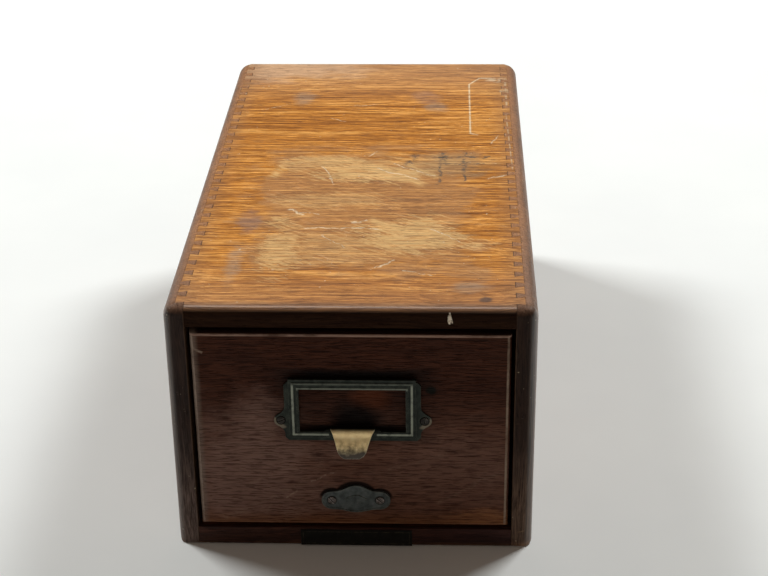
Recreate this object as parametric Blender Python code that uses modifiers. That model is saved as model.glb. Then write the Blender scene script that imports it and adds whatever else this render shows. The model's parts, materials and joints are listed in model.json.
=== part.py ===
"""A one-drawer oak card file: a dovetailed case, a drawer with a label pull, and a follower for the cards.

Frame: metres, +Z up. The drawer opens along -Y. The origin is the centre of the case's underside.
"""

import math

import bmesh
import bpy
from mathutils import Matrix, Vector

# --- driving dimensions ---------------------------------------------------------------------------------
CASE_W, CASE_D, CASE_H = 0.203, 0.392, 0.154
BOARD = 0.012  # thickness of the case's sides, top and bottom
BACK_CORNER_R, FRONT_CORNER_R = 0.012, 0.008  # rounding of the case's upright edges
TOP_SIDE_R, TOP_FRONT_R, TOP_BACK_R, FOOT_R = 0.008, 0.0056, 0.0078, 0.002  # and of its other edges
GAP = 0.0003  # between two pieces that touch
JOINT = 0.00012  # the line of a glued joint

TAIL_LEN = 0.005  # how far a dovetail reaches into its neighbour
TAIL_BASE, TAIL_TIP = 0.0032, 0.0047  # half widths at the shoulder and at the tip
CASE_TAILS = 30
CASE_TAIL_INSET = 0.0098  # from the case's front to the middle of the first tail

BACK_T, BACK_INSET = 0.008, 0.006
RUNNER_W, RUNNER_T = 0.009, 0.0016

DRAWER_FRONT_T = 0.014
DRAWER_SIDE_GAP, DRAWER_TOP_GAP = 0.0021, 0.0031
DRAWER_FLOOR_GAP = 0.0019  # under the drawer's front
DRAWER_EDGE_R = 0.003
DRAWER_SIDE_T, DRAWER_BACK_T, DRAWER_BOTTOM_T = 0.008, 0.008, 0.005
DRAWER_TAIL_INSET, DRAWER_TAILS = 0.0105, 7
GROOVE = 0.003  # depth of the grooves that hold the drawer's bottom and back
SIDE_TALL, SIDE_LOW = 0.104, 0.066  # height of the drawer's sides at the front, and behind the scoop
SCOOP_START, SCOOP_LEN = 0.022, 0.05
CARD_H = 0.1016

PULL_X, PULL_Z = 0.0006, 0.0932  # middle of the label frame, on the drawer's face
FRAME_W, FRAME_H = 0.070, 0.0368
SIDE_BAR, TOP_BAR, LOW_BAR = 0.0057, 0.0061, 0.0039  # the label frame's bars
FLANGE, LOW_FLANGE = 0.0026, 0.0030  # how far its base plate stands out beside and below the frame
FLANGE_T, FRAME_T, LABEL_SLOT = 0.001, 0.0034, 0.0021
BEAD_IN, BEAD_W, BEAD_H = 0.0017, 0.0012, 0.0005
EAR_DROP, EAR_R, EAR_FILLET = 0.0086, 0.0039, 0.0034
TAB_W, TAB_TIP_W, TAB_T = 0.0246, 0.0140, 0.0012
TAB_REACH, TAB_DROP = 0.0106, 0.0122
PULL_SCREW_X = 0.0397

BADGE_X, BADGE_Z = 0.0014, 0.0322
BADGE_LOBE_X, BADGE_LOBE_R, BADGE_T = 0.0136, 0.0059, 0.0015
BADGE_RISE, BADGE_DIP = 0.0100, 0.0080  # how far the badge's middle reaches above and below its screws
BADGE_RIM, BADGE_SUNK = 0.0008, 0.00035
PLATE_X, PLATE_W, PLATE_H, PLATE_T = 0.0011, 0.0636, 0.0104, 0.0006

CATCH_HALF, CATCH_W, CATCH_T = 0.022, 0.012, 0.0024
CATCH_BELOW_TOP = 0.025  # from the underside of the case's top to the catch's pivot
CLEAT_W, CLEAT_D, CLEAT_H, CLEAT_BACK_FROM_FRONT = 0.060, 0.012, 0.0068, 0.058

TRACK_FLANGE_W, TRACK_STEM_W, TRACK_FLANGE_T, TRACK_STEM_H = 0.016, 0.008, 0.0015, 0.0025
SLIDE_LEN, SLIDE_WALL, SLIDE_CLEAR = 0.060, 0.0016, 0.0004
FOLLOWER_W, FOLLOWER_H, FOLLOWER_T = 0.148, 0.088, 0.009
FOLLOWER_LEAN = math.radians(10)
LEVER_W, LEVER_T, LEVER_LEN = 0.010, 0.0018, 0.026
PIN_R = 0.0015

# --- places worked out from them ------------------------------------------------------------------------
HALF_W, HALF_D = CASE_W / 2, CASE_D / 2
INNER_X = HALF_W - BOARD
FLOOR_Z, CEILING_Z = BOARD, CASE_H - BOARD
FRONT_Y = -HALF_D
BACK_PANEL_Y = HALF_D - BACK_INSET - BACK_T

DRAWER_HALF_W = INNER_X - DRAWER_SIDE_GAP
DRAWER_LOW_Z, DRAWER_HIGH_Z = FLOOR_Z + DRAWER_FLOOR_GAP, CEILING_Z - DRAWER_TOP_GAP
DRAWER_BACK_FACE_Y = BACK_PANEL_Y - 0.006
SIDE_OUT_X = DRAWER_HALF_W - 0.0005
SIDE_IN_X = SIDE_OUT_X - DRAWER_SIDE_T
SIDE_LOW_Z = DRAWER_LOW_Z + 0.0002
BOTTOM_LOW_Z = SIDE_LOW_Z + 0.003
BOTTOM_TOP_Z = BOTTOM_LOW_Z + DRAWER_BOTTOM_T
DRAWER_BACK_TOP_Z = BOTTOM_TOP_Z + CARD_H
FRONT_INNER_Y = FRONT_Y + DRAWER_FRONT_T
CATCH_Z = CEILING_Z - CATCH_BELOW_TOP
CLEAT_BACK_Y = FRONT_Y + CLEAT_BACK_FROM_FRONT
TRACK_Z = BOTTOM_TOP_Z + GAP
TRACK_FRONT_Y, TRACK_BACK_Y = FRONT_INNER_Y + 0.008, DRAWER_BACK_FACE_Y - DRAWER_BACK_T - 0.004
FLANGE_LOW_Z = TRACK_Z + TRACK_STEM_H
SLIDE_TOP_Z = FLANGE_LOW_Z + TRACK_FLANGE_T + SLIDE_CLEAR + SLIDE_WALL
SLIDE_HALF_W = TRACK_FLANGE_W / 2 + SLIDE_CLEAR + SLIDE_WALL
SLIDE_BACK_Y = TRACK_BACK_Y - 0.022
SLIDE_FRONT_Y = SLIDE_BACK_Y - SLIDE_LEN
PIVOT_Y, PIVOT_Z = SLIDE_BACK_Y - 0.010, SLIDE_TOP_Z + 0.006
PLATE_FOOT_Y = SLIDE_FRONT_Y + 0.014  # the leaning plate's lower back edge


# --- helpers --------------------------------------------------------------------------------------------
def clear_scene():
    for old in list(bpy.data.objects):
        bpy.data.objects.remove(old, do_unlink=True)


def make_collection(name, helper=False):
    group = bpy.data.collections.new(name)
    bpy.context.scene.collection.children.link(group)
    group.hide_render = helper
    return group


def make_material(name, colour, roughness, metallic=0.0):
    made = bpy.data.materials.new(name)
    made.use_nodes = True
    shader = made.node_tree.nodes["Principled BSDF"]
    shader.inputs["Base Color"].default_value = (*colour, 1.0)
    shader.inputs["Roughness"].default_value = roughness
    shader.inputs["Metallic"].default_value = metallic
    return made


def add_object(name, mesh, group, material=None):
    made = bpy.data.objects.new(name, mesh)
    group.objects.link(made)
    if material:
        mesh.materials.append(material)
    if group.hide_render:
        made.hide_render = True
        made.display_type = "WIRE"
    return made


def cuboid(name, low, high, group, material=None):
    """A box between two corners, with its origin at its middle."""
    low, high = Vector(low), Vector(high)
    bm = bmesh.new()
    bmesh.ops.create_cube(bm, size=1.0)
    bmesh.ops.scale(bm, vec=high - low, verts=bm.verts)
    mesh = bpy.data.meshes.new(name)
    bm.to_mesh(mesh)
    bm.free()
    made = add_object(name, mesh, group, material)
    made.location = (low + high) / 2
    return made


def rod(name, radius, start, end, group, material=None, sides=20, end_radius=None):
    """A cylinder, or a cone, from one point to another."""
    start, end = Vector(start), Vector(end)
    bm = bmesh.new()
    bmesh.ops.create_cone(
        bm, cap_ends=True, segments=sides, radius1=radius,
        radius2=radius if end_radius is None else end_radius, depth=(end - start).length,
    )
    mesh = bpy.data.meshes.new(name)
    bm.to_mesh(mesh)
    bm.free()
    mesh.shade_smooth()
    mesh.set_sharp_from_angle(angle=math.radians(40))
    made = add_object(name, mesh, group, material)
    made.location = (start + end) / 2
    made.rotation_euler = (end - start).to_track_quat("Z", "Y").to_euler()
    return made


# Each plane's local axes: the outline's first and second coordinate, then the way it is extruded.
PLANES = {
    "XY": ((1, 0, 0), (0, 1, 0), (0, 0, 1)),
    "YZ": ((0, 1, 0), (0, 0, 1), (1, 0, 0)),
    "XZ": ((1, 0, 0), (0, 0, 1), (0, -1, 0)),
}


def outline_solid(name, outlines, plane, low, high, group, material=None):
    """Outlines in a plane, extruded from low to high across it. Outlines after the first are holes."""
    curve = bpy.data.curves.new(name, "CURVE")
    curve.dimensions = "2D"
    curve.fill_mode = "BOTH"
    curve.extrude = (high - low) / 2
    for outline in outlines:
        spline = curve.splines.new("POLY")
        spline.points.add(len(outline) - 1)
        for point, (u, v) in zip(spline.points, outline):
            point.co = (u, v, 0.0, 1.0)
        spline.use_cyclic_u = True
    drawn = bpy.data.objects.new(name + "_outline", curve)
    axes = PLANES[plane]
    middle = Vector(axes[2]) * (low + high) / 2 * (-1 if plane == "XZ" else 1)
    drawn.matrix_world = Matrix.Translation(middle) @ Matrix(axes).transposed().to_4x4()
    group.objects.link(drawn)
    bpy.context.view_layer.update()
    placed = drawn.matrix_world.copy()
    graph = bpy.context.evaluated_depsgraph_get()
    mesh = bpy.data.meshes.new_from_object(drawn.evaluated_get(graph))
    bpy.data.objects.remove(drawn, do_unlink=True)
    bpy.data.curves.remove(curve)
    mesh.materials.clear()
    bm = bmesh.new()
    bm.from_mesh(mesh)
    bmesh.ops.remove_doubles(bm, verts=bm.verts, dist=1e-6)
    bm.to_mesh(mesh)
    bm.free()
    made = add_object(name, mesh, group, material)
    made.matrix_world = placed
    return made


def turned(name, profile, group, material=None, steps=24):
    """A profile of (radius, height) points, top to bottom, turned about its own Z."""
    bm = bmesh.new()
    points = [bm.verts.new((radius, 0.0, height)) for radius, height in profile]
    for first, second in zip(points, points[1:]):
        bm.edges.new((first, second))
    mesh = bpy.data.meshes.new(name)
    bm.to_mesh(mesh)
    bm.free()
    made = add_object(name, mesh, group, material)
    turn = made.modifiers.new("turn", "SCREW")
    turn.axis = "Z"
    turn.steps = turn.render_steps = steps
    turn.use_merge_vertices = True
    turn.merge_threshold = 0.00001
    turn.use_smooth_shade = True
    return made


def combine(target, other, operation="DIFFERENCE"):
    step = target.modifiers.new(f"{operation.lower()} {other.name}", "BOOLEAN")
    step.operation = operation
    step.solver = "EXACT"
    step.object = other
    return target


def cut(target, *cutters):
    for cutter in cutters:
        combine(target, cutter)
    return target


def rectangle(half_w, low, high, x=0.0):
    return [(x - half_w, low), (x + half_w, low), (x + half_w, high), (x - half_w, high)]


def tail_steps(middles, shoulder, reach, grow):
    """Corner points of a row of dovetails, as (how far out, how far along), in order."""
    steps = []
    for middle in middles:
        base, tip = TAIL_BASE + grow, TAIL_TIP + grow
        near, out = shoulder + grow, shoulder + reach + grow
        steps += [(near, middle - base), (out, middle - tip), (out, middle + tip), (near, middle + base)]
    return steps


def wood_screw(name, head_point, direction, turn, head_r, dome, shank_r, length, group, material, cutters):
    """A slotted wood screw. head_point is on the face it sits on, and direction is where its head looks."""
    sink = head_r * 0.45
    rim = 0.0003
    profile = [(0.0, rim + dome)]
    profile += [(head_r * math.sin(a), rim + dome * math.cos(a)) for a in (0.5, 0.95, 1.3, math.pi / 2)]
    profile += [(head_r, 0.0), (shank_r, -sink), (shank_r, -length), (0.0, -length)]
    made = turned(name, profile, group, material)
    slot_w, slot_d = head_r * 0.26, dome * 0.8 + rim
    slot_floor = rim + dome - slot_d
    blade = cuboid(
        name + "_slot", (-head_r * 1.5, -slot_w / 2, slot_floor),
        (head_r * 1.5, slot_w / 2, dome + head_r), cutters,
    )
    facing = Vector(direction).to_track_quat("Z", "Y").to_matrix().to_4x4()
    placed = Matrix.Translation(head_point) @ facing @ Matrix.Rotation(turn, 4, "Z")
    made.matrix_world = placed
    blade.matrix_world = placed @ Matrix.Translation(blade.location)
    return cut(made, blade)


def screw_hole(name, head_point, direction, head_r, shank_r, length, cutters):
    """The clearance that a wood screw needs in the pieces that it holds: a countersink, then a bore."""
    head_r, shank_r = head_r + GAP, shank_r + GAP
    sink = head_r * 0.45
    profile = [(0.0, 0.01), (head_r, 0.01), (head_r, 0.0), (shank_r, -sink), (shank_r, -length - GAP)]
    profile.append((0.0, -length - GAP))
    made = turned(name, profile, cutters, steps=20)
    facing = Vector(direction).to_track_quat("Z", "Y").to_matrix().to_4x4()
    made.matrix_world = Matrix.Translation(head_point) @ facing
    return made


def joint_origin(name, at, group, parent=None):
    """An empty on a joint's axis, which the pieces that move with it are parented to."""
    made = bpy.data.objects.new(name, None)
    made.empty_display_size = 0.02
    group.objects.link(made)
    made.location = at
    bpy.context.view_layer.update()
    if parent:
        hang(made, parent)
    return made


def hang(child, parent):
    bpy.context.view_layer.update()
    child.parent = parent
    child.matrix_parent_inverse = parent.matrix_world.inverted()


# --- the case -------------------------------------------------------------------------------------------
def case_edge_radius(start, end):
    """How far one of the case's edges is rounded, from the edge's two ends about the case's middle."""
    middle = (start + end) / 2
    if middle.z < -CASE_H / 4:
        return FOOT_R
    if abs(middle.z) < CASE_H / 4:
        return BACK_CORNER_R if middle.y > 0 else FRONT_CORNER_R
    if abs(middle.x) > CASE_W / 4:
        return TOP_SIDE_R
    return TOP_BACK_R if middle.y > 0 else TOP_FRONT_R


def case_envelope(cutters):
    """The case's outside, with its edges rounded. Each board is kept to it."""
    made = cuboid("case_envelope", (-HALF_W, -HALF_D, 0.0), (HALF_W, HALF_D, CASE_H), cutters)
    weights = made.data.attributes.new("bevel_weight_edge", "FLOAT", "EDGE")
    for edge in made.data.edges:
        start, end = (made.data.vertices[i].co for i in edge.vertices)
        weights.data[edge.index].value = case_edge_radius(start, end) / BACK_CORNER_R
    rounding = made.modifiers.new("rounding", "BEVEL")
    rounding.limit_method = "WEIGHT"
    rounding.offset_type = "OFFSET"
    rounding.width = BACK_CORNER_R
    rounding.segments = 7
    return made


def case_tail_middles():
    pitch = (CASE_D - 2 * CASE_TAIL_INSET) / (CASE_TAILS - 1)
    return [-HALF_D + CASE_TAIL_INSET + pitch * i for i in range(CASE_TAILS)]


def dovetailed_plan(grow, beyond):
    """The plan of the case's top or bottom: a board with a row of dovetails at each end."""
    right = tail_steps(case_tail_middles(), INNER_X, TAIL_LEN, grow)
    shoulder = INNER_X + grow
    right = [(shoulder, -HALF_D - beyond), *right, (shoulder, HALF_D + beyond)]
    left = [(-x, y) for x, y in reversed(right)]
    return right + left


def build_case(parts, cutters, oak, dark_oak):
    envelope = case_envelope(cutters)
    beyond = 0.01
    slim, wide = dovetailed_plan(-JOINT / 2, beyond), dovetailed_plan(JOINT / 2, beyond)
    top = outline_solid("case_top", [slim], "XY", CEILING_Z, CASE_H + beyond, parts, oak)
    bottom = outline_solid("case_bottom", [slim], "XY", -beyond, FLOOR_Z, parts, dark_oak)
    top_room = outline_solid("case_top_room", [wide], "XY", CEILING_Z - JOINT, CASE_H + 2 * beyond, cutters)
    bottom_room = outline_solid("case_bottom_room", [wide], "XY", -2 * beyond, FLOOR_Z + JOINT, cutters)
    for side, name in ((-1, "case_left_side"), (1, "case_right_side")):
        near, far = sorted((side * INNER_X, side * (HALF_W + beyond)))
        low, high = (near, -HALF_D - beyond, -beyond), (far, HALF_D + beyond, CASE_H + beyond)
        board = cuboid(name, low, high, parts, oak)
        combine(board, envelope, "INTERSECT")
        cut(board, top_room, bottom_room)
    combine(top, envelope, "INTERSECT")
    combine(bottom, envelope, "INTERSECT")
    reach = INNER_X - GAP
    cuboid(
        "case_back", (-reach, BACK_PANEL_Y, FLOOR_Z + GAP), (reach, BACK_PANEL_Y + BACK_T, CEILING_Z - GAP),
        parts, dark_oak,
    )
    for side, name in ((-1, "runner_left"), (1, "runner_right")):
        near, far = sorted((side * (SIDE_IN_X - 0.0005), side * (SIDE_IN_X - 0.0005 + RUNNER_W)))
        low = (near, FRONT_INNER_Y + 0.006, FLOOR_Z + GAP / 2)
        cuboid(name, low, (far, BACK_PANEL_Y - 0.004, FLOOR_Z + RUNNER_T), parts, oak)
    return top


def build_stop_cleat(top, parts, cutters, oak, steel):
    """The strip under the case's top that the drawer's catch comes up against."""
    high = CEILING_Z - GAP
    low = high - CLEAT_H
    front_y = CLEAT_BACK_Y - CLEAT_D
    cleat = cuboid("stop_cleat", (-CLEAT_W / 2, front_y, low), (CLEAT_W / 2, CLEAT_BACK_Y, high), parts, oak)
    for side, name in ((-1, "cleat_screw_left"), (1, "cleat_screw_right")):
        head = (side * CLEAT_W * 0.36, CLEAT_BACK_Y - CLEAT_D / 2, low)
        hole = screw_hole(name + "_hole", head, (0, 0, -1), 0.0026, 0.0012, 0.013, cutters)
        wood_screw(name, head, (0, 0, -1), 0.6 * side, 0.0026, 0.0005, 0.0012, 0.013, parts, steel, cutters)
        cut(cleat, hole)
        cut(top, hole)


def build_rail_plate(parts, enamel):
    """The thin plate on the front edge of the case's bottom."""
    low = (FLOOR_Z - PLATE_H) / 2
    cuboid(
        "rail_plate", (PLATE_X - PLATE_W / 2, FRONT_Y - GAP - PLATE_T, low),
        (PLATE_X + PLATE_W / 2, FRONT_Y - GAP, low + PLATE_H), parts, enamel,
    )


# --- the drawer -----------------------------------------------------------------------------------------
def drawer_side_tails(grow):
    """The dovetails at the front of a drawer side seen from the side, from the top down, as (y, z) points."""
    pitch = (SIDE_TALL - 2 * DRAWER_TAIL_INSET) / (DRAWER_TAILS - 1)
    middles = [SIDE_LOW_Z + SIDE_TALL - DRAWER_TAIL_INSET - pitch * i for i in range(DRAWER_TAILS)]
    steps = tail_steps([-z for z in middles], 0.0, TAIL_LEN + 0.001, grow)
    return [(FRONT_INNER_Y - out, -along) for out, along in steps]


def drawer_side_scoop(tall, run):
    """The curve that takes a drawer side down from its tall front to its low run, as (y, z) points."""
    steps = 12
    curve = []
    for i in range(steps + 1):
        t = i / steps
        ease = (1 + math.cos(math.pi * t)) / 2
        curve.append((FRONT_INNER_Y + SCOOP_START + SCOOP_LEN * t, run + (tall - run) * ease))
    return curve


def build_drawer_sides(parts, cutters, oak):
    low, tall, run = SIDE_LOW_Z, SIDE_LOW_Z + SIDE_TALL, SIDE_LOW_Z + SIDE_LOW
    shoulder = FRONT_INNER_Y + JOINT / 2
    outline = [(shoulder, tall), *drawer_side_tails(-JOINT / 2), (shoulder, low)]
    outline += [(DRAWER_BACK_FACE_Y, low), (DRAWER_BACK_FACE_Y, run), *reversed(drawer_side_scoop(tall, run))]
    bottom_groove = cuboid(
        "bottom_groove", (-SIDE_IN_X - GROOVE, FRONT_INNER_Y - GROOVE, BOTTOM_LOW_Z - GAP),
        (SIDE_IN_X + GROOVE, DRAWER_BACK_FACE_Y + 0.01, BOTTOM_TOP_Z + GAP), cutters,
    )
    back_y = DRAWER_BACK_FACE_Y - 0.001
    back_groove = cuboid(
        "back_groove", (-SIDE_IN_X - GROOVE, back_y - DRAWER_BACK_T - GAP, BOTTOM_TOP_Z),
        (SIDE_IN_X + GROOVE, back_y + GAP, DRAWER_BACK_TOP_Z), cutters,
    )
    made = []
    for side, name in ((-1, "drawer_left_side"), (1, "drawer_right_side")):
        near, far = sorted((side * SIDE_IN_X, side * SIDE_OUT_X))
        board = outline_solid(name, [outline], "YZ", near, far, parts, oak)
        made.append(cut(board, bottom_groove, back_groove))
    return made


def build_drawer_front(parts, cutters, oak):
    """The drawer's front: softened edges, sockets for the sides' dovetails and a groove for the bottom."""
    low, high = (-DRAWER_HALF_W, FRONT_Y, DRAWER_LOW_Z), (DRAWER_HALF_W, FRONT_INNER_Y, DRAWER_HIGH_Z)
    front = cuboid("drawer_front", low, high, parts, oak)
    weights = front.data.attributes.new("bevel_weight_edge", "FLOAT", "EDGE")
    for edge in front.data.edges:
        on_face = all(front.data.vertices[i].co.y < 0 for i in edge.vertices)
        weights.data[edge.index].value = 1.0 if on_face else 0.0
    rounding = front.modifiers.new("rounding", "BEVEL")
    rounding.limit_method = "WEIGHT"
    rounding.width = DRAWER_EDGE_R
    rounding.segments = 4
    behind = FRONT_INNER_Y + 0.002
    socket = [(behind, SIDE_LOW_Z + SIDE_TALL), *drawer_side_tails(JOINT / 2)]
    socket.append((behind, SIDE_LOW_Z))
    for side, name in ((-1, "left_sockets"), (1, "right_sockets")):
        near, far = sorted((side * (SIDE_IN_X - GAP), side * (SIDE_OUT_X + 0.01)))
        cut(front, outline_solid(name, [socket], "YZ", near, far, cutters))
    front_groove = cuboid(
        "front_groove", (-SIDE_IN_X - GROOVE, FRONT_INNER_Y - GROOVE, BOTTOM_LOW_Z - GAP),
        (SIDE_IN_X + GROOVE, FRONT_INNER_Y + 0.005, BOTTOM_TOP_Z + GAP), cutters,
    )
    return cut(front, front_groove)


def build_drawer_box(parts, cutters, oak, plain_wood):
    front = build_drawer_front(parts, cutters, oak)
    sides = build_drawer_sides(parts, cutters, plain_wood)
    reach = SIDE_IN_X + GROOVE - GAP
    back_y = DRAWER_BACK_FACE_Y - 0.001
    low = (-reach, back_y - DRAWER_BACK_T, BOTTOM_TOP_Z + 2 * GAP)
    back = cuboid("drawer_back", low, (reach, back_y, DRAWER_BACK_TOP_Z), parts, plain_wood)
    low = (-reach, FRONT_INNER_Y - GROOVE + GAP, BOTTOM_LOW_Z)
    bottom = cuboid("drawer_bottom", low, (reach, DRAWER_BACK_FACE_Y, BOTTOM_TOP_Z), parts, plain_wood)
    return front, sides, back, bottom


# --- the label pull -------------------------------------------------------------------------------------
def ear_outline(edge_x):
    """One ear on the right: a round end about its screw, run into the plate's edge with a hollow curve."""
    ear_z = PULL_Z - EAR_DROP
    turn = math.radians(62)
    turns = [turn * i / 5 for i in range(-5, 6)]
    rounds = [(PULL_SCREW_X + EAR_R * math.cos(a), ear_z + EAR_R * math.sin(a)) for a in turns]
    start, tangent = rounds[-1], (-math.sin(turn), math.cos(turn))
    corner_t = (edge_x - start[0]) / tangent[0]
    corner_z = start[1] + corner_t * tangent[1]
    upper = []
    for i in range(1, 6):
        t = i / 5
        a, b, c = (1 - t) ** 2, 2 * t * (1 - t), t * t
        z = a * start[1] + b * corner_z + c * (corner_z + EAR_FILLET)
        upper.append((a * start[0] + (b + c) * edge_x, z))
    lower = [(x, 2 * ear_z - z) for x, z in reversed(upper)]
    return lower + rounds + upper


def pull_base_outline():
    """The pull's base plate: a rectangle with an ear low on each side for its screw."""
    half, clip = FRAME_W / 2 + FLANGE, 0.002
    low, high = PULL_Z - FRAME_H / 2 - LOW_FLANGE, PULL_Z + FRAME_H / 2 - FLANGE
    right = [(half - clip, low), (half, low + clip), *ear_outline(half)]
    right += [(half, high - clip), (half - clip, high)]
    left = [(-x, z) for x, z in reversed(right)]
    return [(PULL_X + x, z) for x, z in right + left]


def frame_ring(outer_grow, inner_grow):
    """Two rectangles: the label frame's outside and its window, each moved outwards by that much."""
    half_w, low, high = FRAME_W / 2, PULL_Z - FRAME_H / 2, PULL_Z + FRAME_H / 2
    outside = rectangle(half_w + outer_grow, low - outer_grow, high + outer_grow, PULL_X)
    window = rectangle(
        half_w - SIDE_BAR + inner_grow, low + LOW_BAR - inner_grow, high - TOP_BAR + inner_grow, PULL_X
    )
    return [outside, window]


def tab_rows():
    """The finger tab's middle line as (y, z, half width), from inside the frame's lower bar to its tip."""
    root_y, root_z = FRONT_Y - FRAME_T + TAB_T * 0.8, PULL_Z - FRAME_H / 2 + LOW_BAR * 0.5
    fold_z = PULL_Z - FRAME_H / 2 + LOW_BAR + 0.0004
    fold_r = 0.0016
    rows = [(root_y, root_z, 0.0172), (root_y, fold_z - 0.0008, 0.0166), (root_y, fold_z + 0.0003, 0.0148)]
    for turn in (30, 60, 90):
        a = math.radians(turn)
        rows.append((root_y - fold_r * (1 - math.cos(a)), fold_z + fold_r * math.sin(a), TAB_W / 2))
    steps = 12
    for i in range(1, steps + 1):
        a = math.pi / 2 * i / steps
        u = i / steps
        half = (TAB_TIP_W + (TAB_W - TAB_TIP_W) * (1 - u) ** 1.1) / 2
        half *= {steps - 2: 0.97, steps - 1: 0.87, steps: 0.60}.get(i, 1.0)
        y = root_y - fold_r - TAB_REACH * math.sin(a)
        z = fold_z + fold_r - TAB_DROP * (1 - math.cos(a))
        rows.append((y, z, half))
    return rows


def finger_tab(cutters):
    """The tongue that is folded forward and down out of the frame's window."""
    rows, columns = tab_rows(), 6
    bm = bmesh.new()
    grid = []
    for y, z, half in rows:
        across = [PULL_X + half * (2 * c / columns - 1) for c in range(columns + 1)]
        grid.append([bm.verts.new((x, y, z)) for x in across])
    for upper, lower in zip(grid, grid[1:]):
        for c in range(columns):
            bm.faces.new((upper[c], lower[c], lower[c + 1], upper[c + 1]))
    mesh = bpy.data.meshes.new("finger_tab")
    bm.to_mesh(mesh)
    bm.free()
    made = add_object("finger_tab", mesh, cutters)
    thick = made.modifiers.new("sheet", "SOLIDIFY")
    thick.thickness = TAB_T
    thick.offset = 0.0
    thick.use_even_offset = True
    return made


def build_label_pull(front, parts, cutters, brass):
    back_y = FRONT_Y - GAP
    pull = outline_solid("label_pull", [pull_base_outline()], "XZ", back_y - FLANGE_T, back_y, parts, brass)
    face_y = FRONT_Y - FRAME_T
    solid = outline_solid("frame_block", frame_ring(0, 0)[:1], "XZ", face_y, back_y - FLANGE_T / 2, cutters)
    combine(pull, solid, "UNION")
    outer_bead = [frame_ring(-BEAD_IN, 0)[0], frame_ring(-BEAD_IN - BEAD_W, 0)[0]]
    inner_bead = [frame_ring(0, BEAD_W)[1], frame_ring(0, 0.0002)[1]]
    for name, rings, rise in (("outer_bead", outer_bead, BEAD_H), ("inner_bead", inner_bead, BEAD_H * 0.6)):
        combine(pull, outline_solid(name, rings, "XZ", face_y - rise, face_y + BEAD_H, cutters), "UNION")
    window = frame_ring(0, 0)[1]
    window = outline_solid("window_cut", [window], "XZ", face_y - 0.005, FRONT_Y + 0.001, cutters)
    card_half = FRAME_W / 2 - 0.0018
    card_room = cuboid(
        "card_room", (PULL_X - card_half, FRONT_Y - LABEL_SLOT, PULL_Z - FRAME_H / 2 + 0.0018),
        (PULL_X + card_half, FRONT_Y + 0.001, PULL_Z + FRAME_H), cutters,
    )
    cut(pull, window, card_room)
    combine(pull, finger_tab(cutters), "UNION")
    head_y = back_y - FLANGE_T + 0.0004
    for side, name in ((-1, "pull_screw_left"), (1, "pull_screw_right")):
        head = (PULL_X + side * PULL_SCREW_X, head_y, PULL_Z - EAR_DROP)
        hole = screw_hole(name + "_hole", head, (0, -1, 0), 0.0025, 0.0013, 0.011, cutters)
        turn = 0.9 + 0.5 * side
        wood_screw(name, head, (0, -1, 0), turn, 0.0025, 0.0005, 0.0013, 0.011, parts, brass, cutters)
        cut(pull, hole)
        cut(front, hole)
    return pull


# --- badge on the drawer's front ------------------------------------------------------------------------
def badge_outline(inset=0.0):
    """Round lobes about the screws, a tall crown between them and a shallow dip below, moved in by inset."""
    lobe = BADGE_LOBE_R - inset
    upper, lower = (badge_edge(lobe, reach - inset) for reach in (BADGE_RISE, BADGE_DIP))
    outline = upper + [(x, -z) for x, z in reversed(lower[1:-1])]
    return [(BADGE_X + x, BADGE_Z + z) for x, z in outline]


def badge_edge(lobe, crown):
    """One edge of the badge about its middle, from its right end to its left end."""
    steps, arc = 12, [math.pi / 2 * i / 6 for i in range(7)]
    edge = [(BADGE_LOBE_X + lobe * math.cos(a), lobe * math.sin(a)) for a in arc]
    for i in range(1, 2 * steps):
        x = BADGE_LOBE_X * (1 - i / steps)
        rise = ((1 + math.cos(math.pi * x / BADGE_LOBE_X)) / 2) ** 1.3
        edge.append((x, lobe + (crown - lobe) * rise))
    edge += [(-BADGE_LOBE_X - lobe * math.cos(a), lobe * math.sin(a)) for a in reversed(arc)]
    return edge


def badge_ornament():
    """A plain pointed oval in the badge's middle."""
    outline = []
    for side in (1, -1):
        for i in range(8):
            t = i / 8
            x, z = side * 0.0062 * (1 - 2 * t), side * 0.0026 * math.sin(math.pi * t)
            outline.append((BADGE_X + x, BADGE_Z + 0.0009 + z))
    return outline


def build_badge(front, parts, cutters, bronze, steel):
    back_y = FRONT_Y - GAP
    face_y, floor_y = back_y - BADGE_T, back_y - BADGE_T + BADGE_SUNK
    badge = outline_solid("badge_plate", [badge_outline()], "XZ", face_y, back_y, parts, bronze)
    field = outline_solid("badge_field", [badge_outline(BADGE_RIM)], "XZ", face_y - 0.001, floor_y, cutters)
    oval = [badge_ornament()]
    ornament = outline_solid("badge_ornament", oval, "XZ", face_y + 0.00005, floor_y + 0.0003, cutters)
    cut(badge, field)
    combine(badge, ornament, "UNION")
    for side, name in ((-1, "badge_screw_left"), (1, "badge_screw_right")):
        head = (BADGE_X + side * BADGE_LOBE_X, floor_y, BADGE_Z)
        hole = screw_hole(name + "_hole", head, (0, -1, 0), 0.0025, 0.0011, 0.009, cutters)
        turn = -0.8 + 0.08 * side
        wood_screw(name, head, (0, -1, 0), turn, 0.0025, 0.0005, 0.0011, 0.009, parts, steel, cutters)
        cut(badge, hole)
        cut(front, hole)


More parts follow.
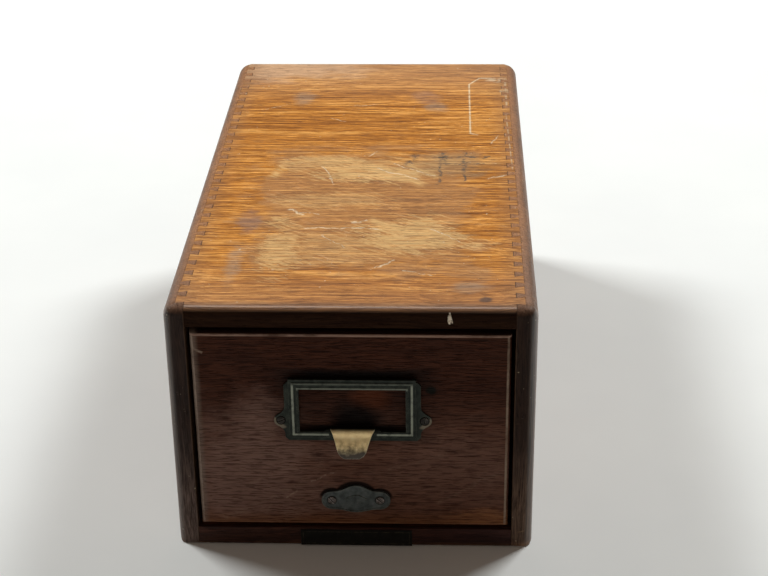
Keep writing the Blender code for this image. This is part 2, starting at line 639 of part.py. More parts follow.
# --- catch that keeps the drawer in the case ------------------------------------------------------------
def build_stop_catch(back, parts, cutters, brass, steel):
    """A button on the drawer's back. Upright, it meets the cleat. Turned flat, it lets the drawer out."""
    outline, round_r = [], CATCH_W / 2
    straight = CATCH_HALF - round_r
    for end in (1, -1):
        for i in range(9):
            a = math.pi * i / 8
            outline.append((end * round_r * math.cos(a), CATCH_Z + end * (straight + round_r * math.sin(a))))
    face_y = DRAWER_BACK_FACE_Y - 0.001 + GAP
    catch = outline_solid("stop_catch", [outline], "XZ", face_y, face_y + CATCH_T, parts, brass)
    shank_r, head_r = 0.0016, 0.0034
    bore = rod("catch_bore", shank_r + GAP, (0, face_y - 0.01, CATCH_Z), (0, face_y + 0.01, CATCH_Z), cutters)
    cut(catch, bore)
    head_y = face_y + CATCH_T + GAP
    rim, dome, length = 0.0004, 0.0012, 0.009
    profile = [(0.0, rim + dome)]
    profile += [(head_r * math.sin(a), rim + dome * math.cos(a)) for a in (0.5, 0.95, 1.3, math.pi / 2)]
    profile += [(head_r, 0.0), (shank_r, 0.0), (shank_r, -length), (0.0, -length)]
    screw = turned("catch_screw", profile, parts, steel)
    blade = cuboid("catch_screw_slot", (-0.005, -0.0004, dome * 0.5), (0.005, 0.0004, 0.004), cutters)
    facing = Vector((0, 1, 0)).to_track_quat("Z", "Y").to_matrix().to_4x4()
    placed = Matrix.Translation((0, head_y, CATCH_Z)) @ facing
    screw.matrix_world = placed
    blade.matrix_world = placed @ Matrix.Rotation(0.4, 4, "Z") @ Matrix.Translation(blade.location)
    cut(screw, blade)
    far_end = (0, head_y - length - GAP, CATCH_Z)
    cut(back, rod("catch_back_bore", shank_r + GAP, far_end, (0, face_y + 0.01, CATCH_Z), cutters))
    return catch, screw


# --- track and follower ---------------------------------------------------------------------------------
def build_track(bottom, parts, cutters, steel):
    """A T-shaped rail along the drawer's floor."""
    top = FLANGE_LOW_Z + TRACK_FLANGE_T
    half, stem = TRACK_FLANGE_W / 2, TRACK_STEM_W / 2
    inside = top - TRACK_FLANGE_T / 2
    low = (-half, TRACK_FRONT_Y, FLANGE_LOW_Z)
    track = cuboid("follower_track", low, (half, TRACK_BACK_Y, top), parts, steel)
    web = cuboid("track_web", (-stem, TRACK_FRONT_Y, TRACK_Z), (stem, TRACK_BACK_Y, inside), cutters)
    combine(track, web, "UNION")
    for name, y in (("track_screw_front", TRACK_FRONT_Y + 0.012), ("track_screw_rear", TRACK_BACK_Y - 0.006)):
        head = (0, y, top - 0.0008)
        hole = screw_hole(name + "_hole", head, (0, 0, 1), 0.0022, 0.0010, 0.0068, cutters)
        wood_screw(name, head, (0, 0, 1), 0.5, 0.0022, 0.0003, 0.0010, 0.0068, parts, steel, cutters)
        cut(track, hole)
        cut(bottom, hole)
    return track


def build_follower(parts, cutters, oak, steel, brass):
    """The slide that hooks under the track, its bracket, the leaning plate and the cam lever that locks it."""
    clear = SLIDE_CLEAR
    half_in, half_out = TRACK_FLANGE_W / 2 + clear, SLIDE_HALF_W
    lip = TRACK_STEM_W / 2 + clear + 0.001
    roof, low = FLANGE_LOW_Z + TRACK_FLANGE_T + clear, FLANGE_LOW_Z - clear
    foot = low - 0.0012
    outside = [(lip, foot), (half_out, foot), (half_out, SLIDE_TOP_Z)]
    inside = [(half_in, roof), (half_in, low), (lip, low)]
    section = outside + [(-x, z) for x, z in reversed(outside)]
    section += [(-x, z) for x, z in reversed(inside)] + inside
    slide = outline_solid("follower_slide", [section], "XZ", SLIDE_FRONT_Y, SLIDE_BACK_Y, parts, steel)
    cam_slot = cuboid(
        "cam_slot", (-LEVER_W / 2 - 0.0005, PIVOT_Y - 0.007, roof - 0.001),
        (LEVER_W / 2 + 0.0005, PIVOT_Y + 0.007, SLIDE_TOP_Z + 0.001), cutters,
    )
    cut(slide, cam_slot)
    lug_in = LEVER_W / 2 + 0.0006
    bore = rod("pin_bore", PIN_R + 0.0002, (-0.02, PIVOT_Y, PIVOT_Z), (0.02, PIVOT_Y, PIVOT_Z), cutters)
    for side, name in ((-1, "left_lug"), (1, "right_lug")):
        near, far = sorted((side * lug_in, side * (lug_in + SLIDE_WALL)))
        lug_r = 0.004
        arch = [(PIVOT_Y - lug_r, SLIDE_TOP_Z - 0.001), (PIVOT_Y + lug_r, SLIDE_TOP_Z - 0.001)]
        turns = [math.pi * i / 8 for i in range(9)]
        arch += [(PIVOT_Y + lug_r * math.cos(a), PIVOT_Z + lug_r * math.sin(a)) for a in turns]
        combine(slide, outline_solid(name, [arch], "YZ", near, far, cutters), "UNION")
    cut(slide, bore)

    pin_half = lug_in + SLIDE_WALL + 0.0008
    ends = [(x, PIVOT_Y, PIVOT_Z) for x in (-pin_half, pin_half)]
    pin = rod("follower_pivot_pin", PIN_R, *ends, parts, steel)

    lean = Matrix.Rotation(-FOLLOWER_LEAN, 4, "X")
    foot_point = Matrix.Translation((0, PLATE_FOOT_Y, SLIDE_TOP_Z + 0.0026))
    half_w = FOLLOWER_W / 2
    plate = cuboid("follower_plate", (-half_w, -FOLLOWER_T, 0.0), (half_w, 0.0, FOLLOWER_H), parts, oak)
    rounding = plate.modifiers.new("rounding", "BEVEL")
    rounding.width = 0.0012
    rounding.segments = 2
    plate.matrix_world = foot_point @ lean @ Matrix.Translation(plate.location)

    sheet_t, upright = 0.0015, 0.056
    bracket = outline_solid(
        "follower_bracket", [bracket_profile(sheet_t, upright)], "YZ", -0.010, 0.010, parts, steel
    )
    screws = []
    for side, name in ((-1, "follower_screw_lower"), (1, "follower_screw_upper")):
        up = upright * (0.55 + 0.27 * side)
        head = foot_point @ lean @ Vector((0, GAP + sheet_t, up))
        outwards = lean.to_3x3() @ Vector((0, 1, 0))
        hole = screw_hole(name + "_hole", head, outwards, 0.0024, 0.0011, 0.0075, cutters)
        turn = 0.3 * side
        screw = wood_screw(name, head, outwards, turn, 0.0024, 0.0006, 0.0011, 0.0075, parts, steel, cutters)
        screws.append(screw)
        cut(bracket, hole)
        cut(plate, hole)
    half = LEVER_W / 2
    lever = outline_solid("follower_lever", [lever_profile(roof)], "YZ", -half, half, parts, brass)
    cut(lever, bore)
    return slide, pin, plate, bracket, screws, lever


def bracket_profile(sheet_t, upright):
    """A strip folded from the slide's roof up the back of the leaning plate, as (y, z) points."""
    base_z = SLIDE_TOP_Z + GAP
    heel_y, front_y = PIVOT_Y - 0.012, SLIDE_FRONT_Y + 0.002
    sine, cosine = math.sin(FOLLOWER_LEAN), math.cos(FOLLOWER_LEAN)
    foot_y, foot_z = PLATE_FOOT_Y + GAP * cosine, SLIDE_TOP_Z + 0.0026 - GAP * sine

    def up_the_back(distance, out):
        return (foot_y + distance * sine + out * cosine, foot_z + distance * cosine - out * sine)

    bend = base_z + sheet_t
    reach = (bend - foot_z + sheet_t * sine) / cosine
    return [
        (front_y, base_z), (heel_y, base_z), (heel_y, bend), up_the_back(reach, sheet_t),
        up_the_back(upright, sheet_t), up_the_back(upright, 0.0), up_the_back((bend - foot_z) / cosine, 0.0),
        (front_y, bend),
    ]


def lever_profile(roof):
    """The cam round the pin, and the thumb blade that runs back and up from it."""
    cam_r = PIVOT_Z - roof + SLIDE_CLEAR * 0.5
    points = []
    for i in range(13):
        a = math.radians(120 + 240 * i / 12 * 0.9)
        shrink = 1.0 - 0.16 * abs(math.sin((a - math.radians(270)) / 2))
        points.append((PIVOT_Y + cam_r * shrink * math.cos(a), PIVOT_Z + cam_r * shrink * math.sin(a)))
    tip_y, tip_z = PIVOT_Y + LEVER_LEN, PIVOT_Z + 0.006
    points += [(PIVOT_Y + cam_r + 0.003, PIVOT_Z + 0.0004), (tip_y - 0.005, tip_z - LEVER_T)]
    points += [(tip_y, tip_z + 0.0012), (tip_y - 0.0008, tip_z + 0.0026), (tip_y - 0.006, tip_z)]
    points.append((PIVOT_Y + cam_r * 0.6, PIVOT_Z + 0.0036))
    return points


# --- the whole object -----------------------------------------------------------------------------------
def main():
    clear_scene()
    parts = make_collection("card_file")
    cutters = make_collection("cutters", helper=True)
    oak = make_material("stained_oak", (0.30, 0.13, 0.05), 0.45)
    dark_oak = make_material("dark_oak", (0.10, 0.045, 0.025), 0.5)
    plain_wood = make_material("drawer_wood", (0.42, 0.27, 0.14), 0.6)
    bronze = make_material("dark_bronze", (0.07, 0.08, 0.07), 0.45, 0.8)
    brass = make_material("worn_brass", (0.55, 0.47, 0.30), 0.4, 0.9)
    steel = make_material("old_steel", (0.25, 0.24, 0.23), 0.45, 0.9)
    enamel = make_material("black_enamel", (0.012, 0.013, 0.012), 0.35)

    top = build_case(parts, cutters, oak, dark_oak)
    build_stop_cleat(top, parts, cutters, plain_wood, steel)
    build_rail_plate(parts, enamel)

    drawer_origin = joint_origin("drawer_origin", (0, FRONT_Y, DRAWER_LOW_Z), parts)
    front, sides, back, bottom = build_drawer_box(parts, cutters, dark_oak, plain_wood)
    pull = build_label_pull(front, parts, cutters, bronze)
    build_badge(front, parts, cutters, bronze, steel)
    catch, catch_screw = build_stop_catch(back, parts, cutters, brass, steel)
    track = build_track(bottom, parts, cutters, steel)
    names = ["pull_screw_left", "pull_screw_right", "badge_plate", "badge_screw_left", "badge_screw_right"]
    names += ["track_screw_front", "track_screw_rear"]
    small = [bpy.data.objects[name] for name in names]
    for piece in [front, *sides, back, bottom, pull, catch_screw, track, *small]:
        hang(piece, drawer_origin)

    catch_origin = joint_origin("catch_origin", (0, DRAWER_BACK_FACE_Y, CATCH_Z), parts, drawer_origin)
    hang(catch, catch_origin)

    slide, pin, plate, bracket, screws, lever = build_follower(parts, cutters, plain_wood, steel, brass)
    follower_origin = joint_origin("follower_origin", (0, SLIDE_BACK_Y, TRACK_Z), parts, drawer_origin)
    for piece in [slide, pin, plate, bracket, *screws]:
        hang(piece, follower_origin)
    lever_origin = joint_origin("lever_origin", (0, PIVOT_Y, PIVOT_Z), parts, follower_origin)
    hang(lever, lever_origin)


main()
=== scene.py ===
"""Looks for the oak card file: stained oak with worn varnish, darkened brass, and a plain pale studio."""

import json
import math

import bpy
from mathutils import Matrix, Vector

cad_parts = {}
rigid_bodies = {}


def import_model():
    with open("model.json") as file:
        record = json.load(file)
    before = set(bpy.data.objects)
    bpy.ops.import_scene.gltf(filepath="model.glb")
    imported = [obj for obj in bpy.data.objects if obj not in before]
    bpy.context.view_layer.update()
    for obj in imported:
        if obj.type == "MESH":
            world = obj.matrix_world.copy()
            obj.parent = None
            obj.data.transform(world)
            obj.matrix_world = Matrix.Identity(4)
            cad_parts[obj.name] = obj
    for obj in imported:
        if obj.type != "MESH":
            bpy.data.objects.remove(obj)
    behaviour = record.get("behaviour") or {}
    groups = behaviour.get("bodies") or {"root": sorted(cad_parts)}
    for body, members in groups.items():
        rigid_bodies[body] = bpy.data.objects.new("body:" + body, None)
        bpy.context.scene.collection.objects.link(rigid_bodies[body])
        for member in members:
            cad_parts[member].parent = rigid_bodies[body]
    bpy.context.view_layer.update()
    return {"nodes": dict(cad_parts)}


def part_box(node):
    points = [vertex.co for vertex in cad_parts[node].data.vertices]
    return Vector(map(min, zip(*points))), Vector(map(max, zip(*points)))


EASED_WOOD, EASED_METAL = 0.0004, 0.00018  # how far sharp edges are eased, in metres
METAL = ("label_pull", "badge_plate", "follower_track", "follower_slide", "follower_bracket", "rail_plate")

# The pull, down from its top edge, and the badge, up from its lower edge, in metres.
FRAME_H = 0.0368
TAB_TOP = 0.0065  # from the frame's lower edge up to the top of the finger tab's fold
TAB_DROP = 0.0122  # from there down to about the tab's tip
EAR_BELOW_TOP, EAR_X = 0.0270, 0.0397  # the middle of an ear's screw
BADGE_MIDDLE, BADGE_LOBE_R = 0.0080, 0.0059


# --- shader building ----------------------------------------------------------------------------------
class Shader:
    """A Principled material and short calls for its nodes. Positions are the piece's own, in metres."""

    def __init__(self, name):
        self.material = bpy.data.materials.new(name)
        self.material.use_nodes = True
        self.tree = self.material.node_tree
        self.bsdf = self.tree.nodes["Principled BSDF"]
        self.position = self.tree.nodes.new("ShaderNodeTexCoord").outputs["Object"]
        split = self.node("ShaderNodeSeparateXYZ", {0: self.position})
        self.x, self.y, self.z = split.outputs

    def node(self, kind, inputs=None, **settings):
        made = self.tree.nodes.new(kind)
        for key, value in settings.items():
            setattr(made, key, value)
        for key, value in (inputs or {}).items():
            if isinstance(value, bpy.types.NodeSocket):
                self.tree.links.new(value, made.inputs[key])
            else:
                made.inputs[key].default_value = value
        return made

    def math(self, operation, *values, clamp=False):
        made = self.node("ShaderNodeMath", dict(enumerate(values)), operation=operation, use_clamp=clamp)
        return made.outputs[0]

    def add(self, a, b):
        return self.math("ADD", a, b)

    def sub(self, a, b):
        return self.math("SUBTRACT", a, b)

    def mul(self, a, b):
        return self.math("MULTIPLY", a, b)

    def most(self, a, b):
        return self.math("MAXIMUM", a, b)

    def least(self, a, b):
        return self.math("MINIMUM", a, b)

    def size(self, a):
        return self.math("ABSOLUTE", a)

    def step(self, value, low, high, to_low=0.0, to_high=1.0):
        """A smooth step from to_low at low to to_high at high."""
        made = self.node(
            "ShaderNodeMapRange", {0: value, 1: low, 2: high, 3: to_low, 4: to_high},
            interpolation_type="SMOOTHSTEP",
        )
        return made.outputs[0]

    def noise(self, scale, detail=3.0, roughness=0.55, offset=(0, 0, 0), at=None):
        """Noise from 0 to 1. scale is per metre, along X, Y and Z."""
        scale = (scale,) * 3 if isinstance(scale, (int, float)) else scale
        place = {"Vector": at or self.position, "Location": offset, "Scale": scale}
        placed = self.node("ShaderNodeMapping", place).outputs[0]
        made = self.node(
            "ShaderNodeTexNoise", {"Vector": placed, "Scale": 1.0, "Detail": detail, "Roughness": roughness}
        )
        return made.outputs[0]

    def mix(self, amount, first, second, blend="MIX"):
        made = self.node("ShaderNodeMix", data_type="RGBA", blend_type=blend)
        for key, value in ((0, amount), (6, first), (7, second)):
            if isinstance(value, bpy.types.NodeSocket):
                self.tree.links.new(value, made.inputs[key])
            elif key == 0:
                made.inputs[key].default_value = value
            else:
                made.inputs[key].default_value = (*value, 1.0)
        return made.outputs[2]

    def ramp(self, value, *stops):
        """A colour ramp through (place, colour) stops."""
        made = self.node("ShaderNodeValToRGB", {0: value})
        elements = made.color_ramp.elements
        while len(elements) < len(stops):
            elements.new(1.0)
        for element, (place, colour) in zip(elements, stops):
            element.position = place
            element.color = (*colour, 1.0)
        return made.outputs[0]

    def inside(self, away, soft=0.35):
        """1 where a distance is under 1, falling off over soft."""
        return self.step(away, 1.0 + soft / 2, 1.0 - soft / 2)

    def blob(self, a, b, middle, radii, ragged=0.0, soft=0.35, grain=None):
        """1 inside an ellipse over two coordinates. ragged is how far the noise in grain moves its edge."""
        u = self.math("DIVIDE", self.sub(a, middle[0]), radii[0])
        v = self.math("DIVIDE", self.sub(b, middle[1]), radii[1])
        away = self.math("SQRT", self.add(self.mul(u, u), self.mul(v, v)))
        if ragged:
            away = self.add(away, self.mul(self.sub(grain, 0.5), ragged))
        return self.inside(away, soft)

    def panel(self, a, b, middle, halves, ragged=0.0, soft=0.35, grain=None):
        """1 inside a rectangle over two coordinates."""
        u = self.math("DIVIDE", self.size(self.sub(a, middle[0])), halves[0])
        v = self.math("DIVIDE", self.size(self.sub(b, middle[1])), halves[1])
        away = self.most(u, v)
        if ragged:
            away = self.add(away, self.mul(self.sub(grain, 0.5), ragged))
        return self.inside(away, soft)

    def line(self, a, b, start, end, width, fade=0.5):
        """1 on a straight mark between two points over two coordinates."""
        run = (end[0] - start[0], end[1] - start[1])
        length = math.hypot(*run)
        along_u, along_v = run[0] / length, run[1] / length
        u, v = self.sub(a, start[0]), self.sub(b, start[1])
        along = self.add(self.mul(u, along_u), self.mul(v, along_v))
        across = self.size(self.sub(self.mul(u, along_v), self.mul(v, along_u)))
        past = self.most(self.mul(along, -1.0), self.sub(along, length))
        away = self.most(across, past)
        return self.step(away, width / 2 + width * fade, width / 2 * (1 - fade))

    def strokes(self, a, b, marks, fade=0.5):
        """The union of several marks, each (start, end, width)."""
        union = None
        for start, end, width in marks:
            stroke = self.line(a, b, start, end, width, fade)
            union = stroke if union is None else self.most(union, stroke)
        return union

    def turned(self, axis, angle):
        """Positions turned about one axis, by an angle in radians."""
        made = self.node(
            "ShaderNodeVectorRotate", {"Vector": self.position, "Angle": angle}, rotation_type=f"{axis}_AXIS"
        )
        return made.outputs[0]

    def scaled(self, vector, factor):
        return self.node("ShaderNodeVectorMath", {0: vector, "Scale": factor}, operation="SCALE").outputs[0]

    def hairs(self, axis, degrees, fine, along, offset, cut):
        """Sparse hairline scratches in the plane across an axis, at an angle to it."""
        at = self.turned(axis, math.radians(degrees))
        drawn = self.noise((along, fine, fine), 2.0, 0.5, offset, at=at)
        return self.step(drawn, cut, cut + 0.035)

    def edges(self, radius):
        """1 on sharp edges, fading over that radius."""
        rounded = self.node("ShaderNodeBevel", {"Radius": radius}, samples=6).outputs[0]
        flat = self.node("ShaderNodeNewGeometry").outputs["Normal"]
        turn = self.node("ShaderNodeVectorMath", {0: rounded, 1: flat}, operation="DOT_PRODUCT")
        return self.step(turn.outputs["Value"], 0.995, 0.80)

    def bump(self, height, depth):
        made = self.node("ShaderNodeBump", {"Height": height, "Distance": depth, "Strength": 1.0})
        self.tree.links.new(made.outputs[0], self.bsdf.inputs["Normal"])

    def set(self, socket, value):
        if isinstance(value, bpy.types.NodeSocket):
            self.tree.links.new(value, self.bsdf.inputs[socket])
        elif isinstance(value, tuple):
            self.bsdf.inputs[socket].default_value = (*value, 1.0)
        else:
            self.bsdf.inputs[socket].default_value = value


def grain_scale(axis, along, across):
    """Noise scales that draw a pattern out along one axis."""
    return tuple(along if name == axis else across for name in "XYZ")


class Wood(Shader):
    """Oak with its grain along one axis: faint figure, thin streaks, fine fibres and open pores."""

    def __init__(self, name, axis, tones, seed=0.0, contrast=1.0):
        super().__init__(name)
        shift = (seed, seed * 1.7, seed * 2.3)
        wander = self.noise(9.0, 2.0, offset=shift)
        shove = self.scaled(wander, 0.012)
        bent = self.node("ShaderNodeVectorMath", {0: self.position, 1: shove}, operation="ADD").outputs[0]
        broad = self.noise(grain_scale(axis, 5.0, 14.0), 2.0, 0.5, shift)
        figure = self.noise(grain_scale(axis, 8.0, 130.0), 4.0, 0.6, shift, at=bent)
        streak = self.noise(grain_scale(axis, 17.0, 500.0), 5.0, 0.70, shift, at=bent)
        self.fibre = self.noise(grain_scale(axis, 60.0, 1500.0), 3.0, 0.75, shift, at=bent)
        tone = 0.5
        for part, weight in ((broad, 0.30), (figure, 0.70), (streak, 1.35), (self.fibre, 1.00)):
            tone = self.add(self.mul(self.sub(part, 0.5), weight * contrast), tone)
        # Grain that still shows where the colour is changed later.
        self.grain = self.add(self.mul(self.sub(streak, 0.5), 1.1), self.mul(self.sub(self.fibre, 0.5), 1.3))
        self.tone = tone
        self.colour = self.stain(tones)
        across = self.noise(grain_scale(axis, 30.0, 820.0), 3.0, 0.6, (seed, 9.0, 4.0), at=bent)
        self.lines = self.step(across, 0.54, 0.66)
        pits = self.noise(grain_scale(axis, 130.0, 1500.0), 2.0, 0.5, (seed + 3.1, 0.7, 5.2), at=bent)
        self.pores = self.step(pits, 0.60, 0.68)
        self.gloss = self.add(self.mul(self.fibre, 0.10), self.mul(self.pores, 0.15))
        dips = self.add(self.mul(self.pores, 0.8), self.mul(self.lines, 0.4))
        self.height = self.sub(self.mul(self.fibre, 0.35), dips)
        self.speck = self.noise(260.0, 3.0, 0.7, (seed, 4.0, 1.0))
        self.cloud = self.noise(34.0, 4.0, 0.6, (1.0, seed, 2.0))

    def stain(self, tones):
        """The grain in four tones, from its darkest streaks to its palest."""
        return self.ramp(self.tone, *zip((0.25, 0.43, 0.57, 0.78), tones))

    def tint(self, mask, colour, amount=1.0):
        self.colour = self.mix(self.mul(mask, amount), self.colour, colour)

    def shade(self, mask, colour, amount=1.0):
        """Multiplies the colour, so that the grain still shows through."""
        self.colour = self.mix(self.mul(mask, amount), self.colour, colour, blend="MULTIPLY")

    def finish(
        self, roughness, depth=0.00022, shine=0.35, coat=None, coat_roughness=0.22, lines=0.4, grain=1.0
    ):
        """Lines, pores and grain over the colour, then the varnish. shine is its gloss level."""
        self.shade(self.lines, (0.50, 0.42, 0.38), lines)
        self.shade(self.pores, (0.34, 0.28, 0.25), 0.45)
        gain = self.most(self.add(self.mul(self.grain, grain), 1.0), 0.3)
        self.set("Base Color", self.scaled(self.colour, gain))
        self.set("Roughness", self.math("ADD", self.gloss, roughness, clamp=True))
        self.set("Specular IOR Level", shine)
        if coat is not None:
            self.set("Coat Weight", coat)
            self.set("Coat Roughness", coat_roughness)
        self.bump(self.height, depth)
        return self.material


STAINED = ((0.255, 0.084, 0.015), (0.425, 0.156, 0.024), (0.575, 0.228, 0.036), (0.790, 0.405, 0.115))
SIDE_STAIN = ((0.150, 0.056, 0.020), (0.240, 0.096, 0.034), (0.330, 0.138, 0.050), (0.450, 0.215, 0.090))
DARK = ((0.016, 0.0048, 0.0022), (0.036, 0.0105, 0.0046), (0.056, 0.0170, 0.0075), (0.095, 0.0340, 0.0165))
BARE = ((0.180, 0.095, 0.045), (0.300, 0.175, 0.085), (0.400, 0.250, 0.130), (0.480, 0.320, 0.180))
WORN = (0.700, 0.440, 0.180)
SCUFF = (0.80, 0.66, 0.46)


# --- the case -----------------------------------------------------------------------------------------
def top_board_material(low, high, joint_x):
    """The top: orange-brown stain with a handled patch, stains, scratches and the ghost of a paper tag."""
    wood = Wood("oak_top", "X", STAINED, seed=2.0)
    front = low.y
    u, v = wood.x, wood.sub(wood.y, front)
    ragged = wood.noise((26.0, 55.0, 26.0), 5.0, 0.68, (5.0, 2.0, 0.0))
    torn = wood.noise((60.0, 520.0, 60.0), 4.0, 0.7, (1.0, 8.0, 3.0))
    sway_u = wood.mul(wood.sub(wood.noise(90.0, 3.0, 0.6, (3.0, 1.0, 0.0)), 0.5), 0.008)
    sway_v = wood.mul(wood.sub(wood.noise(90.0, 3.0, 0.6, (8.0, 5.0, 0.0)), 0.5), 0.008)
    wavy_u, wavy_v = wood.add(u, sway_u), wood.add(v, sway_v)
    broken = wood.step(wood.speck, 0.38, 0.54)
    brushed = wood.noise((45.0, 480.0, 45.0), 3.0, 0.65, (2.0, 4.0, 1.0), at=wood.turned("Z", 0.62))
    frayed = wood.add(ragged, wood.mul(wood.sub(brushed, 0.5), 0.8))
    frayed = wood.add(wood.mul(wood.sub(torn, 0.5), 0.7), frayed)
    patchy = wood.step(torn, 0.36, 0.58, 0.4, 1.0)

    # Paler and duller at the back and most of all in its left corner, browner at the front and down both
    # sides.
    wood.tint(wood.step(v, 0.285, 0.385), (0.480, 0.275, 0.150), 0.55)
    corner = wood.blob(u, v, (-0.078, 0.380), (0.060, 0.030), 2.2, 0.9, ragged)
    wood.tint(corner, (0.620, 0.400, 0.250), 0.72)
    wood.tint(wood.step(v, 0.070, 0.0), (0.380, 0.190, 0.095), 0.55)
    handled = wood.panel(u, v, (0.001, 0.131), (0.067, 0.086), 1.6, 0.30, ragged)
    wood.tint(handled, (0.375, 0.192, 0.080), 0.55)
    wood.shade(wood.mul(handled, wood.step(ragged, 0.50, 0.66)), (0.70, 0.66, 0.66), 0.55)

    purple = wood.most(
        wood.blob(u, v, (-0.065, 0.110), (0.006, 0.020), 2.5, 0.8, ragged),
        wood.blob(u, v, (0.037, 0.316), (0.009, 0.013), 3.0, 0.8, ragged),
    )
    wood.tint(wood.mul(purple, patchy), (0.240, 0.150, 0.130), 0.52)
    grey = wood.most(
        wood.blob(u, v, (0.044, 0.297), (0.008, 0.008), 3.0, 0.8, ragged),
        wood.blob(u, v, (-0.048, 0.316), (0.007, 0.013), 3.0, 0.9, ragged),
    )
    grey = wood.most(grey, wood.blob(u, v, (-0.068, 0.052), (0.005, 0.020), 3.0, 0.9, ragged))
    grey = wood.most(grey, wood.blob(u, v, (0.064, 0.026), (0.012, 0.006), 3.0, 0.9, ragged))
    wood.tint(wood.mul(grey, patchy), (0.360, 0.290, 0.220), 0.48)

    # Bare patches where the finish is rubbed through to paler wood.
    patches = (
        ((0.002, 0.184), (0.033, 0.013), 1.0), ((-0.020, 0.203), (0.024, 0.008), 0.8),
        ((-0.045, 0.193), (0.015, 0.010), 0.7), ((0.034, 0.092), (0.033, 0.021), 1.0),
        ((-0.044, 0.076), (0.012, 0.034), 0.85), ((-0.022, 0.142), (0.034, 0.011), 0.5),
        ((-0.012, 0.076), (0.026, 0.018), 0.45), ((0.022, 0.200), (0.034, 0.009), 0.45),
    )
    bare = None
    for middle, radii, strength in patches:
        patch = wood.mul(wood.blob(u, v, middle, radii, 3.4, 0.45, frayed), strength)
        bare = patch if bare is None else wood.most(bare, patch)
    swept = (
        ((-0.057, 0.178), (-0.052, 0.194), 0.0040), ((-0.052, 0.194), (-0.032, 0.206), 0.0040),
        ((-0.032, 0.206), (-0.006, 0.201), 0.0050), ((-0.006, 0.201), (0.012, 0.188), 0.0060),
        ((0.012, 0.188), (0.034, 0.168), 0.0060), ((0.028, 0.196), (0.044, 0.178), 0.0030),
        ((0.010, 0.110), (0.052, 0.082), 0.0050),
    )
    swept = wood.mul(wood.strokes(wavy_u, wavy_v, swept, 0.9), wood.step(brushed, 0.40, 0.56, 0.15, 0.9))
    bare = wood.most(wood.mul(bare, wood.step(torn, 0.36, 0.58, 0.25, 1.0)), swept)
    wood.tint(bare, WORN, 0.92)

    # Ink and a damp stain behind the handled patch, on the right.
    damp = wood.blob(u, v, (0.056, 0.194), (0.024, 0.017), 2.5, 0.8, ragged)
    wood.tint(damp, (0.310, 0.215, 0.110), 0.32)
    ink_marks = (
        ((0.0490, 0.214), (0.0485, 0.200), 0.0036), ((0.045, 0.209), (0.079, 0.2095), 0.0020),
        ((0.0628, 0.216), (0.0625, 0.172), 0.0014), ((0.0477, 0.206), (0.0470, 0.166), 0.0012),
        ((0.031, 0.213), (0.028, 0.198), 0.0030), ((0.052, 0.197), (0.074, 0.199), 0.0012),
    )
    ink = wood.mul(wood.strokes(wavy_u, wavy_v, ink_marks, 0.9), wood.step(wood.speck, 0.36, 0.62))
    wood.tint(ink, (0.050, 0.060, 0.062), 0.85)
    drop = wood.blob(u, v, (0.073, 0.011), (0.0035, 0.0030), 1.0, 0.8, wood.speck)
    wood.tint(drop, (0.060, 0.055, 0.060), 0.70)

    # The pale outline of a paper tag with one cut corner, and what is left of its glue.
    tag_marks = (
        ((0.0670, 0.250), (0.0670, 0.343), 0.0008), ((0.0670, 0.343), (0.0745, 0.3555), 0.0010),
        ((0.0745, 0.3555), (0.0925, 0.3555), 0.0012), ((0.0925, 0.3555), (0.0925, 0.300), 0.0010),
        ((0.0670, 0.250), (0.0715, 0.2475), 0.0011), ((0.0915, 0.285), (0.0930, 0.190), 0.0006),
    )
    tag = wood.mul(wood.strokes(u, v, tag_marks, 0.6), wood.step(wood.speck, 0.36, 0.52, 0.25, 1.0))
    glue = wood.blob(u, v, (0.0870, 0.3510), (0.0075, 0.0045), 3.0, 0.6, ragged)
    glue = wood.most(glue, wood.blob(u, v, (0.0915, 0.3280), (0.0025, 0.0070), 3.0, 0.6, ragged))
    glue = wood.mul(glue, broken)
    wood.tint(wood.most(tag, wood.mul(glue, 0.7)), (0.80, 0.68, 0.48), 0.80)

    # Scratches and nicks through the finish.
    marks = (
        ((-0.043, 0.127), (-0.034, 0.121), 0.0012), ((-0.036, 0.124), (-0.024, 0.120), 0.0007),
        ((-0.031, 0.101), (0.012, 0.1015), 0.0009), ((-0.003, 0.109), (0.003, 0.111), 0.0014),
        ((-0.027, 0.193), (-0.022, 0.180), 0.0007), ((-0.022, 0.180), (-0.020, 0.166), 0.0007),
        ((0.003, 0.211), (0.007, 0.218), 0.0008), ((0.008, 0.190), (0.034, 0.172), 0.0009),
        ((0.018, 0.198), (0.044, 0.178), 0.0007), ((0.010, 0.047), (0.022, 0.058), 0.0008),
        ((-0.027, 0.277), (-0.016, 0.270), 0.0006), ((0.078, 0.175), (0.092, 0.183), 0.0010),
        ((0.042, 0.102), (0.060, 0.082), 0.0006), ((-0.020, 0.092), (-0.008, 0.076), 0.0005),
        ((0.086, 0.246), (0.081, 0.232), 0.0006), ((-0.012, 0.300), (0.004, 0.303), 0.0005),
        ((0.028, 0.046), (0.044, 0.040), 0.0005), ((-0.075, 0.292), (-0.060, 0.302), 0.0005),
    )
    cuts = wood.mul(wood.strokes(wavy_u, wavy_v, marks, 0.6), broken)
    hairs = wood.most(
        wood.hairs("Z", 38.0, 1500.0, 50.0, (4.0, 1.0, 0.0), 0.655),
        wood.hairs("Z", -28.0, 1500.0, 60.0, (1.0, 7.0, 0.0), 0.665),
    )
    hairs = wood.mul(hairs, wood.add(wood.mul(handled, 0.6), wood.step(wood.cloud, 0.52, 0.64, 0.0, 0.4)))
    spots = wood.step(wood.noise(430.0, 1.0, 0.5, (9.0, 1.0, 2.0)), 0.735, 0.76)
    nicks = wood.mul(spots, wood.step(wood.cloud, 0.46, 0.58))
    wood.tint(wood.most(cuts, wood.mul(nicks, 0.8)), SCUFF, 0.70)
    wood.tint(hairs, SCUFF, 0.32)
